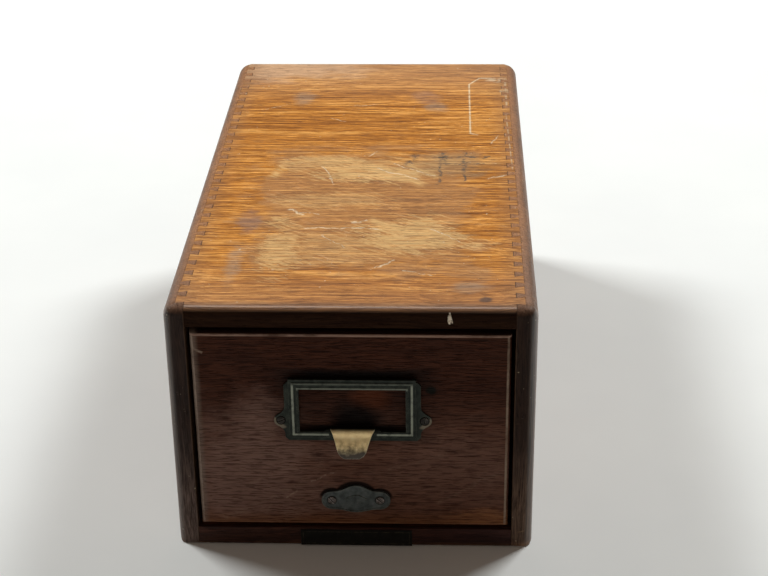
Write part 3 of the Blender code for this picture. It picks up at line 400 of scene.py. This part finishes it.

    # The ends are soiled, and the nosing over the drawer gets painted shade from just below its top edge down
    # its rounding and front face.
    wood.tint(wood.step(wood.size(u), joint_x - 0.012, joint_x + 0.005), (0.330, 0.170, 0.080), 0.50)
    # Painted shade: the nosing's rounding and front face over the drawer turn almost black.
    nosing = wood.mul(wood.step(wood.z, high.z - 0.0004, high.z - 0.0032), wood.step(v, 0.010, 0.005))
    wood.tint(nosing, (0.0110, 0.0042, 0.0026), 0.98)
    # Painted shade: a darker brown on the upper rounding, between the lit top and the shaded front.
    rim = wood.mul(wood.step(v, 0.0085, 0.004), wood.step(wood.z, high.z - 0.0030, high.z - 0.0006))
    wood.tint(rim, (0.200, 0.120, 0.080), 0.55)
    chip = wood.blob(u, wood.z, (0.0535, high.z - 0.0066), (0.0010, 0.0026), 1.5, 0.4, wood.speck)
    split = wood.line(u, wood.z, (0.0537, high.z - 0.003), (0.0552, high.z - 0.0085), 0.0006)
    chip = wood.most(chip, wood.mul(split, broken))
    wood.tint(wood.mul(chip, wood.step(v, 0.006, 0.003)), (0.80, 0.70, 0.55), 0.9)
    wood.gloss = wood.add(wood.gloss, wood.mul(wood.most(bare, handled), 0.14))
    wood.height = wood.sub(wood.height, wood.mul(wood.most(cuts, nicks), 1.2))
    polish = wood.step(wood.z, high.z - 0.0034, high.z - 0.0014)
    polish = wood.mul(wood.step(wood.z, high.z - 0.0001, high.z - 0.0003), polish)
    dull = wood.mul(wood.step(nosing, 0.0, 1.0, 1.0, 0.10), 0.22)
    return wood.finish(0.38, shine=dull, coat=polish, coat_roughness=0.13)


def side_board_material(side, low, high, joint_x):
    """A side: its grain stands upright, its outer edges are rubbed, the rounding of its outer front corner
    has streaks of painted highlight and its front edge is dark.
    """
    wood = Wood(f"oak_side_{'left' if side < 0 else 'right'}", "Z", SIDE_STAIN, seed=11.0 + side)
    v = wood.sub(wood.y, low.y)
    outer = wood.size(wood.x)
    ragged = wood.noise((30.0, 30.0, 12.0), 4.0, 0.65, (3.0, side, 0.0))
    wood.shade(wood.step(ragged, 0.44, 0.66), (0.62, 0.55, 0.52), 0.55)
    wood.tint(wood.step(wood.z, 0.045, 0.0), (0.130, 0.060, 0.030), 0.50)
    wood.tint(wood.step(v, 0.110, 0.010), (0.115, 0.058, 0.034), 0.55)

    # The top of the side shows beside the top board, as light as it is but for its dirty outer edge.
    upper = wood.step(wood.z, high.z - 0.010, high.z - 0.001)
    wood.tint(upper, (0.390, 0.190, 0.088), 0.65)
    wood.tint(wood.mul(upper, wood.step(v, 0.110, 0.015)), (0.220, 0.115, 0.068), 0.62)
    wood.tint(wood.mul(upper, wood.step(v, 0.012, 0.003)), (0.120, 0.070, 0.050), 0.60)
    outer_edge = wood.step(outer, joint_x + 0.0055, joint_x + 0.0105)
    wood.tint(wood.mul(outer_edge, wood.step(ragged, 0.36, 0.62, 0.45, 1.0)), (0.115, 0.062, 0.040), 0.62)

    front_face = wood.step(v, 0.0075, 0.0022)
    face_tone = (0.0150, 0.0102, 0.0096) if side < 0 else (0.0120, 0.0066, 0.0052)
    wood.tint(wood.mul(front_face, wood.step(wood.z, high.z - 0.0006, high.z - 0.0050)), face_tone, 0.94)
    streaks = wood.noise((900.0, 900.0, 26.0), 4.0, 0.65, (1.0, 6.0, 3.0))
    # Paler towards the bottom of the front face, in a fibre pattern.
    pale_low = wood.mul(front_face, wood.step(wood.z, 0.085, 0.012))
    wood.tint(wood.mul(front_face, wood.step(streaks, 0.55, 0.70)), (0.060, 0.042, 0.034), 0.22)
    low_tone = (0.165, 0.115, 0.095) if side < 0 else (0.160, 0.100, 0.068)
    wood.tint(wood.mul(pale_low, wood.step(wood.fibre, 0.38, 0.62, 0.35, 1.0)), low_tone, 0.75)
    # Painted highlight: paler streaks on the rounding of the outer front corner.
    corner = wood.mul(wood.step(v, 0.009, 0.003), wood.step(outer, joint_x + 0.006, joint_x + 0.0105))
    wood.tint(wood.mul(corner, wood.step(streaks, 0.40, 0.62)), (0.150, 0.100, 0.070), 0.45)
    heel = wood.mul(wood.step(wood.z, 0.0040, 0.0010), front_face)
    heel = wood.mul(heel, wood.step(wood.cloud, 0.40, 0.60))
    wood.tint(heel, (0.260, 0.150, 0.085), 0.55)
    wood.tint(wood.step(outer, joint_x + 0.0006, joint_x + 0.0001), (0.085, 0.048, 0.028), 0.75)

    nicks = wood.step(wood.noise(380.0, 1.0, 0.5, (2.0, 5.0, side)), 0.725, 0.755)
    nicks = wood.mul(nicks, wood.step(wood.cloud, 0.46, 0.56))
    wood.tint(nicks, SCUFF, 0.50)
    scuffs = wood.step(wood.noise((40.0, 260.0, 420.0), 2.0, 0.5, (6.0, side, 1.0)), 0.66, 0.74)
    wood.tint(wood.mul(scuffs, wood.step(wood.cloud, 0.5, 0.62)), (0.42, 0.27, 0.15), 0.40)
    hairs = wood.hairs("X", 24.0, 1300.0, 1300.0, (2.0, 4.0, side), 0.72)
    wood.tint(wood.mul(hairs, wood.step(wood.cloud, 0.45, 0.60)), SCUFF, 0.30)
    wood.gloss = wood.add(wood.gloss, wood.mul(wood.most(nicks, front_face), 0.12))
    wood.height = wood.sub(wood.height, wood.mul(nicks, 1.0))
    dull = wood.step(v, 0.012, 0.004, 0.30, 0.08)
    polish = wood.mul(wood.step(v, 0.009, 0.006), wood.step(outer, joint_x + 0.0070, joint_x + 0.0095))
    polish = wood.mul(polish, 0.85 if side > 0 else 0.45)
    return wood.finish(0.38, shine=dull, coat=polish, coat_roughness=0.30)


def bottom_board_material(low):
    """The bottom: dark at the front rail, with a rubbed lower edge and a plain underside."""
    wood = Wood("oak_bottom", "X", DARK, seed=21.0)
    v = wood.sub(wood.y, low.y)
    rail = wood.step(v, 0.004, 0.0005)
    wood.tint(rail, (0.048, 0.025, 0.021), 0.50)
    wood.tint(wood.mul(rail, wood.step(wood.x, 0.0, 0.070)), (0.030, 0.013, 0.014), 0.55)
    lower_edge = wood.mul(wood.step(wood.z, 0.0035, 0.0008), wood.step(wood.cloud, 0.42, 0.60))
    wood.tint(lower_edge, (0.130, 0.070, 0.038), 0.50)
    wood.tint(wood.step(v, 0.012, 0.020), (0.140, 0.080, 0.045), 0.70)
    return wood.finish(0.45, shine=0.10)


def back_panel_material():
    wood = Wood("oak_back", "X", SIDE_STAIN, seed=31.0, contrast=0.9)
    wood.shade(wood.step(wood.cloud, 0.40, 0.75), (0.55, 0.50, 0.48), 0.55)
    return wood.finish(0.50, shine=0.25)


# --- the drawer ---------------------------------------------------------------------------------------
def drawer_front_material(low, high, pull_low, pull_high, badge_low, badge_high):
    """Dark red-brown, with short horizontal pores, painted shadow and soiling round the hardware, painted
    sheen, light and shade on the face and edges, and one long scratch.
    """
    wood = Wood("oak_drawer_front", "X", DARK, seed=41.0, contrast=0.36)
    u, w = wood.x, wood.z
    on_face = wood.step(wood.y, low.y + 0.0045, low.y + 0.0015)
    ragged = wood.noise((30.0, 30.0, 60.0), 5.0, 0.65, (4.0, 0.0, 7.0))
    # Painted light: the face is lighter below, and its upper part, under the nosing, is left in painted
    # shade.
    wood.tint(wood.mul(wood.step(w, 0.108, 0.062), on_face), (0.150, 0.070, 0.046), 0.55)
    # Painted sheen: mauve-grey patches of reflection left and right of the middle.
    mauve_sheen = wood.blob(u, w, (-0.060, 0.052), (0.045, 0.038), 2.5, 1.2, ragged)
    wood.tint(wood.mul(mauve_sheen, on_face), (0.215, 0.128, 0.102), 0.58)
    mauve_sheen = wood.blob(u, w, (0.050, 0.055), (0.040, 0.024), 2.5, 1.2, ragged)
    wood.tint(wood.mul(mauve_sheen, on_face), (0.160, 0.088, 0.066), 0.40)
    lower_edge = wood.mul(wood.step(w, low.z + 0.0125, low.z + 0.001), on_face)
    wood.tint(lower_edge, (0.165, 0.064, 0.024), 0.60)
    rubbed = wood.blob(u, w, (high.x - 0.014, low.z + 0.006), (0.020, 0.006), 2.0, 0.9, ragged)
    rubbed = wood.mul(wood.mul(rubbed, on_face), wood.step(wood.fibre, 0.42, 0.58, 0.4, 1.0))
    wood.tint(rubbed, (0.260, 0.105, 0.040), 0.55)
    dashes = wood.noise(grain_scale("X", 80.0, 1250.0), 2.0, 0.6, (2.0, 0.0, 9.0))
    dashes = wood.mul(wood.step(dashes, 0.52, 0.62), on_face)
    wood.shade(dashes, (0.40, 0.34, 0.32), 0.80)

    pull_x, frame_high, frame_low = (pull_low.x + pull_high.x) / 2, pull_high.z, pull_high.z - FRAME_H
    # Painted shadow and soiling: a near-black band just above the frame, the frame's shadow cast upward,
    # mixed with soil.
    frame_shadow_grime = wood.panel(u, w, (pull_x, frame_high - 0.001), (0.0365, 0.0055), 0.4, 0.9, ragged)
    wood.tint(wood.mul(frame_shadow_grime, on_face), (0.0030, 0.0018, 0.0014), 0.93)
    around = wood.panel(u, w, (pull_x, (frame_high + frame_low) / 2), (0.0425, 0.0230), 0.4, 0.35, ragged)
    wood.shade(wood.mul(around, on_face), (0.50, 0.46, 0.44), 0.70)
    warm = wood.blob(u, w, (pull_x + 0.010, frame_low + 0.024), (0.010, 0.007), 1.0, 1.0, ragged)
    wood.tint(wood.mul(warm, on_face), (0.120, 0.030, 0.008), 0.45)
    # Painted shadow: the tab's shadow cast upward in the label window, and the shade in the slot behind the
    # frame's lower bar.
    tab_shadow = wood.blob(u, w, (pull_x, frame_low + 0.007), (0.0135, 0.0125), 1.2, 0.9, ragged)
    sill_shadow = wood.panel(u, w, (pull_x, frame_low + 0.003), (0.0310, 0.0035), 0.4, 0.8, ragged)
    wood.tint(wood.mul(wood.most(tab_shadow, sill_shadow), on_face), (0.0030, 0.0016, 0.0014), 0.94)

    badge_x, badge_z = (badge_low.x + badge_high.x) / 2, badge_low.z + BADGE_MIDDLE
    lobe_x = (badge_high.x - badge_low.x) / 2 - BADGE_LOBE_R
    # Painted shadow and soiling: a dark outline above the badge and its lobes, the badge's shadow cast
    # upward.
    badge_shadow_soil = wood.blob(u, w, (badge_x, badge_z + 0.0010), (0.0125, 0.0108), 0.1, 0.12, ragged)
    for side in (-1, 1):
        lobe = wood.blob(u, w, (badge_x + side * lobe_x, badge_z), (0.0072, 0.0073), 0.1, 0.16, ragged)
        badge_shadow_soil = wood.most(badge_shadow_soil, lobe)
    badge_shadow_soil = wood.mul(badge_shadow_soil, wood.step(w, badge_z - 0.0010, badge_z + 0.0030))
    wood.tint(wood.mul(badge_shadow_soil, on_face), (0.0030, 0.0022, 0.0016), 0.92)
    spot = wood.blob(u, w, (0.0438, 0.1037), (0.0028, 0.0024), 0.8, 0.7, wood.speck)
    wood.tint(wood.mul(spot, on_face), (0.0040, 0.0055, 0.0040), 0.90)

    sway = wood.mul(wood.sub(wood.noise(80.0, 3.0, 0.6, (3.0, 1.0, 6.0)), 0.5), 0.005)
    wavy = wood.add(w, sway)
    marks = (
        ((-0.0235, 0.0435), (-0.0100, 0.0502), 0.0008), ((-0.0380, 0.0330), (-0.0320, 0.0370), 0.0008),
    )
    dents = (((-0.0862, 0.1308), (-0.0850, 0.1284), 0.0010), ((-0.0850, 0.1284), (-0.0812, 0.1266), 0.0010))
    faint = (
        ((-0.074, 0.018), (-0.026, 0.044), 0.0016), ((-0.060, 0.040), (-0.048, 0.048), 0.0010),
        ((0.048, 0.030), (0.084, 0.052), 0.0014), ((0.020, 0.052), (0.052, 0.062), 0.0010),
        ((-0.050, 0.022), (-0.044, 0.034), 0.0009),
    )
    broken = wood.step(wood.speck, 0.38, 0.56)
    marks = wood.mul(wood.strokes(u, wavy, marks, 0.6), broken)
    faint = wood.mul(wood.strokes(u, wavy, faint, 1.2), wood.step(wood.speck, 0.36, 0.66, 0.1, 0.55))
    wood.tint(wood.mul(marks, on_face), (0.300, 0.190, 0.140), 0.50)
    wood.tint(wood.strokes(u, w, dents, 0.6), (0.330, 0.240, 0.180), 0.60)
    wood.tint(wood.mul(faint, on_face), (0.230, 0.145, 0.105), 0.45)

    # The softened edges get painted light: shade along the top under the nosing, a sheen down the left side
    # and highlight lines along all four edges; the sides and back of the board are plainer.
    patchy = wood.step(wood.cloud, 0.36, 0.58, 0.35, 1.0)
    patchy = wood.mul(patchy, wood.step(wood.y, low.y + 0.0034, low.y + 0.0020))
    from_left, from_right = wood.add(u, high.x), wood.sub(high.x, u)
    from_top, from_base = wood.sub(high.z, w), wood.sub(w, low.z)
    # Painted shade along the top edge, under the nosing.
    wood.shade(wood.step(from_top, 0.0016, 0.0008), (0.30, 0.28, 0.28), 0.8)
    # Painted sheen down the left edge's rounding.
    left_edge_sheen = wood.mul(wood.step(from_left, 0.0055, 0.0022), wood.step(wood.cloud, 0.30, 0.60, 0.5, 1.0))
    wood.tint(left_edge_sheen, (0.170, 0.128, 0.100), 0.68)
    # Painted highlights: a thin glint line along each edge, broken up by the cloud noise.
    ends = wood.mul(wood.step(from_top, 0.0006, 0.0016), wood.step(from_base, 0.0006, 0.0020))
    for away, middle, half, colour in (
        (from_left, 0.0013, 0.0010, (0.330, 0.250, 0.200)),
        (from_right, 0.0018, 0.0009, (0.300, 0.225, 0.165)),
        (from_top, 0.0017, 0.0009, (0.400, 0.260, 0.200)),
        (from_base, 0.0016, 0.0010, (0.220, 0.100, 0.048)),
    ):
        glint = wood.step(wood.size(wood.sub(away, middle)), half, half * 0.4)
        wood.tint(wood.mul(glint, wood.mul(patchy, ends)), colour, 0.80)
    wood.tint(wood.step(wood.y, low.y + 0.0090, low.y + 0.0130), wood.stain(BARE), 0.90)
    wood.height = wood.sub(wood.height, wood.mul(dashes, 0.8))
    wood.gloss = wood.add(wood.gloss, wood.mul(dashes, 0.10))
    return wood.finish(0.42, depth=0.00022, shine=0.07, lines=0.25, grain=0.40)


def bare_wood_material(name, axis, seed, shade=1.0):
    tones = tuple(tuple(c * shade for c in tone) for tone in BARE)
    wood = Wood(name, axis, tones, seed=seed, contrast=0.8)
    wood.tint(wood.step(wood.cloud, 0.45, 0.75), (0.160, 0.095, 0.055), 0.40)
    wood.tint(wood.edges(0.0012), (0.130, 0.075, 0.040), 0.35)
    return wood.finish(0.58, depth=0.00018, shine=0.3)


# --- metal --------------------------------------------------------------------------------------------
def bronze_material(pull_low, pull_high, face_y):
    """Brass gone nearly black, with its edges rubbed, painted highlights on its beads and ears, and its
    finger tab worn bright but for painted shade at its tip.
    """
    metal = Shader("bronze_dark")
    mottle = metal.noise(260.0, 4.0, 0.6)
    fine = metal.noise(1500.0, 3.0, 0.6, (1.0, 2.0, 3.0))
    dark = metal.ramp(
        mottle, (0.30, (0.008, 0.010, 0.008)), (0.52, (0.017, 0.020, 0.016)), (0.75, (0.036, 0.040, 0.031))
    )
    rubbed = metal.mul(metal.edges(0.0006), metal.step(mottle, 0.34, 0.60, 0.2, 1.0))
    dark = metal.mix(metal.mul(rubbed, 0.25), dark, (0.160, 0.158, 0.120))
    tab_x = (pull_low.x + pull_high.x) / 2
    fold_z = pull_high.z - FRAME_H + TAB_TOP
    tip_z = fold_z - TAB_DROP
    over_tab = metal.mul(
        metal.step(metal.size(metal.sub(metal.x, tab_x)), 0.0136, 0.0130),
        metal.step(metal.z, fold_z + 0.0030, fold_z + 0.0020),
    )

    # The frame's two beads and the lower, outer side of its ears catch the light.
    outer = metal.step(metal.y, face_y - 0.00375, face_y - 0.00385)
    outer = metal.mul(outer, metal.step(metal.z, pull_high.z - 0.0016, pull_high.z - 0.0045, 0.10, 1.0))
    inner = metal.step(metal.y, face_y - 0.0035, face_y - 0.0036)
    inner = metal.mul(inner, metal.step(metal.size(metal.sub(metal.z, pull_high.z - 0.0056)), 0.0010, 0.0006))
    proud = metal.most(outer, metal.mul(inner, 0.55))
    bead = metal.mul(metal.mul(proud, metal.step(mottle, 0.30, 0.52, 0.45, 1.0)), metal.sub(1.0, over_tab))
    dark = metal.mix(metal.mul(bead, 0.75), dark, (0.260, 0.270, 0.215))
    ear_z = pull_high.z - EAR_BELOW_TOP
    for side in (-1, 1):
        out = metal.mul(metal.sub(metal.x, tab_x + side * EAR_X), side)
        down = metal.sub(ear_z, metal.z)
        away = metal.math("SQRT", metal.add(metal.mul(out, out), metal.mul(down, down)))
        lit = metal.mul(metal.step(metal.add(out, down), 0.0004, 0.0024), metal.step(away, 0.0024, 0.0029))
        lit = metal.mul(lit, metal.step(away, 0.0060, 0.0045))
        dark = metal.mix(metal.mul(lit, 0.45), dark, (0.260, 0.205, 0.145))

    # The finger tab is rubbed bright below its fold, and painted shade darkens it towards its tip.
    worn = metal.mul(metal.step(metal.y, face_y - 0.0042, face_y - 0.0049), over_tab)
    worn = metal.mul(worn, metal.step(metal.z, fold_z + 0.0001, fold_z - 0.0004))
    bright = metal.ramp(
        mottle, (0.25, (0.700, 0.530, 0.250)), (0.55, (0.900, 0.740, 0.400)), (0.80, (0.960, 0.850, 0.560))
    )
    streaks = metal.noise((900.0, 300.0, 60.0), 3.0, 0.6, (4.0, 2.0, 0.0))
    streaks = metal.step(streaks, 0.50, 0.72, 0.0, 0.40)
    streaks = metal.mul(streaks, metal.step(metal.z, fold_z - 0.0015, fold_z - 0.0050))
    bright = metal.mix(streaks, bright, (0.380, 0.280, 0.140))
    # Painted shade: the tab goes dark towards its tip, along a ragged line.
    tip_shade_height = metal.add(metal.z, metal.mul(metal.sub(mottle, 0.5), 0.010))
    bright = metal.mix(metal.step(tip_shade_height, tip_z + 0.0082, tip_z + 0.0018), bright, (0.050, 0.038, 0.027))
    bright = metal.mix(metal.mul(metal.edges(0.0006), 0.5), bright, (0.90, 0.84, 0.66))
    metal.set("Base Color", metal.mix(worn, dark, bright))
    metal.set("Metallic", metal.sub(0.85, metal.mul(worn, 0.45)))
    metal.set("Roughness", metal.add(metal.mul(mottle, 0.22), metal.add(metal.mul(fine, 0.10), 0.28)))
    height = metal.add(metal.mul(mottle, 0.6), metal.mul(fine, 0.25))
    metal.bump(height, 0.00010)
    return metal.material


def badge_material(low, high):
    """The badge: dull grey-green, paler on its rim."""
    metal = Shader("bronze_badge")
    mottle = metal.noise(300.0, 4.0, 0.6, (2.0, 0.0, 5.0))
    fine = metal.noise(1500.0, 3.0, 0.6, (1.0, 2.0, 3.0))
    colour = metal.ramp(
        mottle, (0.30, (0.038, 0.044, 0.043)), (0.52, (0.078, 0.088, 0.086)), (0.78, (0.130, 0.140, 0.130))
    )
    rubbed = metal.mul(metal.edges(0.0006), metal.step(mottle, 0.32, 0.60, 0.3, 1.0))
    colour = metal.mix(metal.mul(rubbed, 0.55), colour, (0.200, 0.190, 0.140))
    middle_x, middle_z = (low.x + high.x) / 2, low.z + BADGE_MIDDLE
    lobe_x = (high.x - low.x) / 2 - BADGE_LOBE_R
    for side in (-1, 1):
        seat = metal.blob(metal.x, metal.z, (middle_x + side * lobe_x, middle_z), (0.0029, 0.0029), soft=0.3)
        colour = metal.mix(metal.mul(seat, 0.85), colour, (0.008, 0.007, 0.006))
    metal.set("Base Color", colour)
    metal.set("Metallic", 0.75)
    metal.set("Roughness", metal.add(metal.mul(mottle, 0.25), metal.add(metal.mul(fine, 0.12), 0.32)))
    metal.bump(metal.add(mottle, metal.mul(fine, 0.4)), 0.00014)
    return metal.material


def plain_metal(name, tones, roughness, metallic, edge_tone, edge_amount=0.6, seed=0.0, head_y=None):
    """A mottled metal with brighter edges. head_y is a screw head's front; its slot and rim get painted
    shade.
    """
    metal = Shader(name)
    mottle = metal.noise(340.0, 4.0, 0.6, (seed, 1.0, 2.0))
    fine = metal.noise(1800.0, 2.0, 0.6, (seed, 5.0, 1.0))
    colour = metal.ramp(mottle, *zip((0.32, 0.52, 0.72), tones))
    colour = metal.mix(metal.mul(metal.edges(0.0005), edge_amount), colour, edge_tone)
    if head_y is not None:
        # Painted shade: near black deeper than the head's front, in the slot and round the rim.
        sunk = metal.step(metal.y, head_y + 0.00025, head_y + 0.00050, 0.0, 0.92)
        colour = metal.mix(sunk, colour, (0.006, 0.005, 0.004))
    metal.set("Base Color", colour)
    metal.set("Metallic", metallic)
    metal.set("Roughness", metal.add(metal.mul(mottle, 0.25), metal.add(metal.mul(fine, 0.12), roughness)))
    metal.bump(metal.add(mottle, metal.mul(fine, 0.5)), 0.00008)
    return metal.material


def enamel_material(low, high):
    """Black enamel with a thin worn border line."""
    plate = Shader("enamel_black")
    mottle = plate.noise(300.0, 4.0, 0.65)
    colour = plate.ramp(
        mottle, (0.35, (0.0040, 0.0040, 0.0032)), (0.60, (0.0080, 0.0075, 0.0060)),
        (0.80, (0.0180, 0.0165, 0.0120)),
    )
    middle_x, middle_z = (low.x + high.x) / 2, (low.z + high.z) / 2
    half_w, half_h = (high.x - low.x) / 2, (high.z - low.z) / 2
    from_side = plate.sub(half_w, plate.size(plate.sub(plate.x, middle_x)))
    from_top = plate.sub(half_h, plate.size(plate.sub(plate.z, middle_z)))
    inset = plate.least(from_side, from_top)
    border = plate.step(plate.size(plate.sub(inset, 0.0013)), 0.00032, 0.00012)
    border = plate.mul(border, plate.step(mottle, 0.40, 0.62, 0.15, 1.0))
    colour = plate.mix(plate.mul(border, 0.6), colour, (0.075, 0.070, 0.045))
    colour = plate.mix(plate.mul(plate.edges(0.0004), 0.5), colour, (0.090, 0.085, 0.070))
    plate.set("Base Color", colour)
    plate.set("Roughness", plate.add(plate.mul(mottle, 0.3), 0.35))
    plate.set("Specular IOR Level", 0.15)
    plate.bump(mottle, 0.00006)
    return plate.material


# --- putting it together ------------------------------------------------------------------------------
def paint(nodes, material, *names):
    for name in names:
        slots = nodes[name].data.materials
        slots.clear()
        slots.append(material)


def soften(piece, width):
    """Eases a piece's sharp edges and shades its curved faces smooth."""
    mesh = piece.data
    for name in ("custom_normal", "sharp_face", "sharp_edge"):
        if name in mesh.attributes:
            mesh.attributes.remove(mesh.attributes[name])
    mesh.shade_smooth()
    weld = piece.modifiers.new("weld", "WELD")
    weld.merge_threshold = 0.00001
    flatten = piece.modifiers.new("flatten", "DECIMATE")
    flatten.decimate_type = "DISSOLVE"
    flatten.angle_limit = math.radians(0.5)
    ease = piece.modifiers.new("ease", "BEVEL")
    ease.width = width
    ease.segments = 2
    ease.limit_method = "ANGLE"
    ease.angle_limit = math.radians(38)
    ease.miter_outer = "MITER_ARC"
    even = piece.modifiers.new("even", "WEIGHTED_NORMAL")
    even.weight = 90


def dress(frame):
    nodes = frame["nodes"]
    for name, piece in nodes.items():
        large_wood = piece.dimensions.length > 0.1 and name not in METAL
        soften(piece, EASED_WOOD if large_wood else EASED_METAL)
    top_low, top_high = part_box("case_top")
    side_low, side_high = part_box("case_left_side")
    joint_x = -side_high.x
    paint(nodes, top_board_material(top_low, top_high, joint_x), "case_top")
    for side, name in ((-1, "case_left_side"), (1, "case_right_side")):
        paint(nodes, side_board_material(side, side_low, side_high, joint_x), name)
    paint(nodes, bottom_board_material(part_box("case_bottom")[0]), "case_bottom")
    paint(nodes, back_panel_material(), "case_back")
    pull_low, pull_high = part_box("label_pull")
    front = drawer_front_material(*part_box("drawer_front"), pull_low, pull_high, *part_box("badge_plate"))
    paint(nodes, front, "drawer_front")
    paint(nodes, bare_wood_material("wood_drawer_sides", "Y", 51.0), "drawer_left_side", "drawer_right_side")
    paint(nodes, bare_wood_material("wood_drawer_back", "X", 57.0, 0.9), "drawer_back")
    paint(nodes, bare_wood_material("wood_drawer_floor", "X", 63.0, 0.8), "drawer_bottom")
    paint(nodes, bare_wood_material("wood_runners", "Y", 71.0, 0.6), "runner_left", "runner_right")
    paint(nodes, bare_wood_material("wood_follower", "X", 77.0, 0.75), "follower_plate", "stop_cleat")
    paint(nodes, bronze_material(pull_low, pull_high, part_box("drawer_front")[0].y), "label_pull")
    paint(nodes, badge_material(*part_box("badge_plate")), "badge_plate")
    dark_screw = plain_metal(
        "screw_dark", ((0.014, 0.012, 0.010), (0.032, 0.028, 0.024), (0.100, 0.090, 0.075)), 0.34, 0.85,
        (0.34, 0.30, 0.25), 0.4, seed=3.0, head_y=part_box("pull_screw_left")[0].y,
    )
    paint(nodes, dark_screw, "pull_screw_left", "pull_screw_right")
    worn_screw = plain_metal(
        "screw_worn", ((0.030, 0.026, 0.024), (0.130, 0.110, 0.100), (0.460, 0.400, 0.370)), 0.28, 0.8,
        (0.66, 0.58, 0.54), 0.6, seed=5.0, head_y=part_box("badge_screw_left")[0].y,
    )
    paint(nodes, worn_screw, "badge_screw_left", "badge_screw_right")
    steel = plain_metal(
        "steel_old", ((0.110, 0.100, 0.090), (0.200, 0.190, 0.175), (0.320, 0.305, 0.285)), 0.30, 0.9,
        (0.52, 0.50, 0.47), seed=7.0,
    )
    paint(
        nodes, steel, "catch_screw", "cleat_screw_left", "cleat_screw_right", "track_screw_front",
        "track_screw_rear", "follower_track", "follower_slide", "follower_bracket", "follower_pivot_pin",
        "follower_screw_lower", "follower_screw_upper",
    )
    brass = plain_metal(
        "brass_dull", ((0.210, 0.150, 0.060), (0.380, 0.290, 0.130), (0.520, 0.420, 0.220)), 0.30, 0.9,
        (0.74, 0.64, 0.40), seed=13.0,
    )
    paint(nodes, brass, "stop_catch", "follower_lever")
    paint(nodes, enamel_material(*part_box("rail_plate")), "rail_plate")


# --- studio -------------------------------------------------------------------------------------------
FLOOR_REACH, FLOOR_GAP = 9.0, 0.0003
DAYLIGHT = (0.985, 1.0, 0.985)


def build_floor():
    mesh = bpy.data.meshes.new("studio_floor")
    turns = ((-1, -1), (1, -1), (1, 1), (-1, 1))
    corners = [(x * FLOOR_REACH, y * FLOOR_REACH, 0) for x, y in turns]
    mesh.from_pydata(corners, [], [(0, 1, 2, 3)])
    floor = bpy.data.objects.new("studio_floor", mesh)
    floor.location.z = -FLOOR_GAP
    bpy.context.scene.collection.objects.link(floor)
    pale = Shader("studio_pale")
    mottle = pale.noise(6.0, 3.0)
    pale.set("Base Color", pale.ramp(mottle, (0.3, (0.80, 0.82, 0.82)), (0.7, (0.84, 0.86, 0.855))))
    pale.set("Roughness", pale.step(pale.noise(60.0), 0.2, 0.8, 0.75, 0.9))
    mesh.materials.append(pale.material)


def area_light(name, location, target, size, power, colour):
    data = bpy.data.lights.new(name, "AREA")
    data.shape = "RECTANGLE"
    data.size, data.size_y = size
    data.energy = power
    data.color = colour
    light = bpy.data.objects.new(name, data)
    bpy.context.scene.collection.objects.link(light)
    light.location = location
    light.rotation_euler = (Vector(target) - Vector(location)).to_track_quat("-Z", "Y").to_euler()
    return light


def build_lights():
    scene = bpy.context.scene
    world = bpy.data.worlds.new("studio")
    world.use_nodes = True
    background = world.node_tree.nodes["Background"]
    background.inputs["Color"].default_value = (1.0, 0.80, 0.64, 1.0)
    background.inputs["Strength"].default_value = 0.085
    scene.world = world
    # Two lights behind, far apart, so that the shadow in front narrows towards the camera.
    area_light("key_left", (-2.00, 1.20, 2.35), (0, -0.3, 0.0), (1.10, 0.88), 76.0, DAYLIGHT)
    area_light("key_right", (1.50, 1.45, 2.35), (0, -0.3, 0.0), (0.95, 0.88), 68.0, DAYLIGHT)
    area_light("fill", (0.3, -1.7, 1.0), (0, 0, 0.1), (1.8, 1.0), 3.0, (1.0, 0.82, 0.68))
    # A strip overhead that only shows as a shine on rounded edges and metal.
    strip = area_light("strip", (0.0, -0.08, 1.5), (0, -0.15, 0.1), (2.0, 0.50), 9.0, (1.0, 0.92, 0.84))
    strip.visible_diffuse = False


def build_camera(front_y):
    """A long lens, above and in front of the box, turned a little to its left."""
    pitch, yaw, roll = math.radians(27.07), math.radians(-2.39), math.radians(-0.77)
    place = Vector((0.0524, front_y - 0.8057, 0.5785))
    ahead = Vector((math.sin(yaw) * math.cos(pitch), math.cos(yaw) * math.cos(pitch), -math.sin(pitch)))
    level = Vector((math.cos(yaw), -math.sin(yaw), 0.0))
    above = level.cross(ahead)
    right = level * math.cos(roll) + above * math.sin(roll)
    upward = above * math.cos(roll) - level * math.sin(roll)
    data = bpy.data.cameras.new("camera")
    data.sensor_width = 36.0
    data.lens = 80.06
    data.clip_start, data.clip_end = 0.05, 50.0
    camera = bpy.data.objects.new("camera", data)
    bpy.context.scene.collection.objects.link(camera)
    turn = Matrix((right, upward, -ahead)).transposed().to_4x4()
    camera.matrix_world = Matrix.Translation(place) @ turn
    bpy.context.scene.camera = camera


def main():
    for old in list(bpy.data.objects):
        bpy.data.objects.remove(old, do_unlink=True)
    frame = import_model()
    dress(frame)
    build_floor()
    build_lights()
    build_camera(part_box("case_top")[0].y)
    bpy.context.scene.view_settings.view_transform = "Standard"


main()
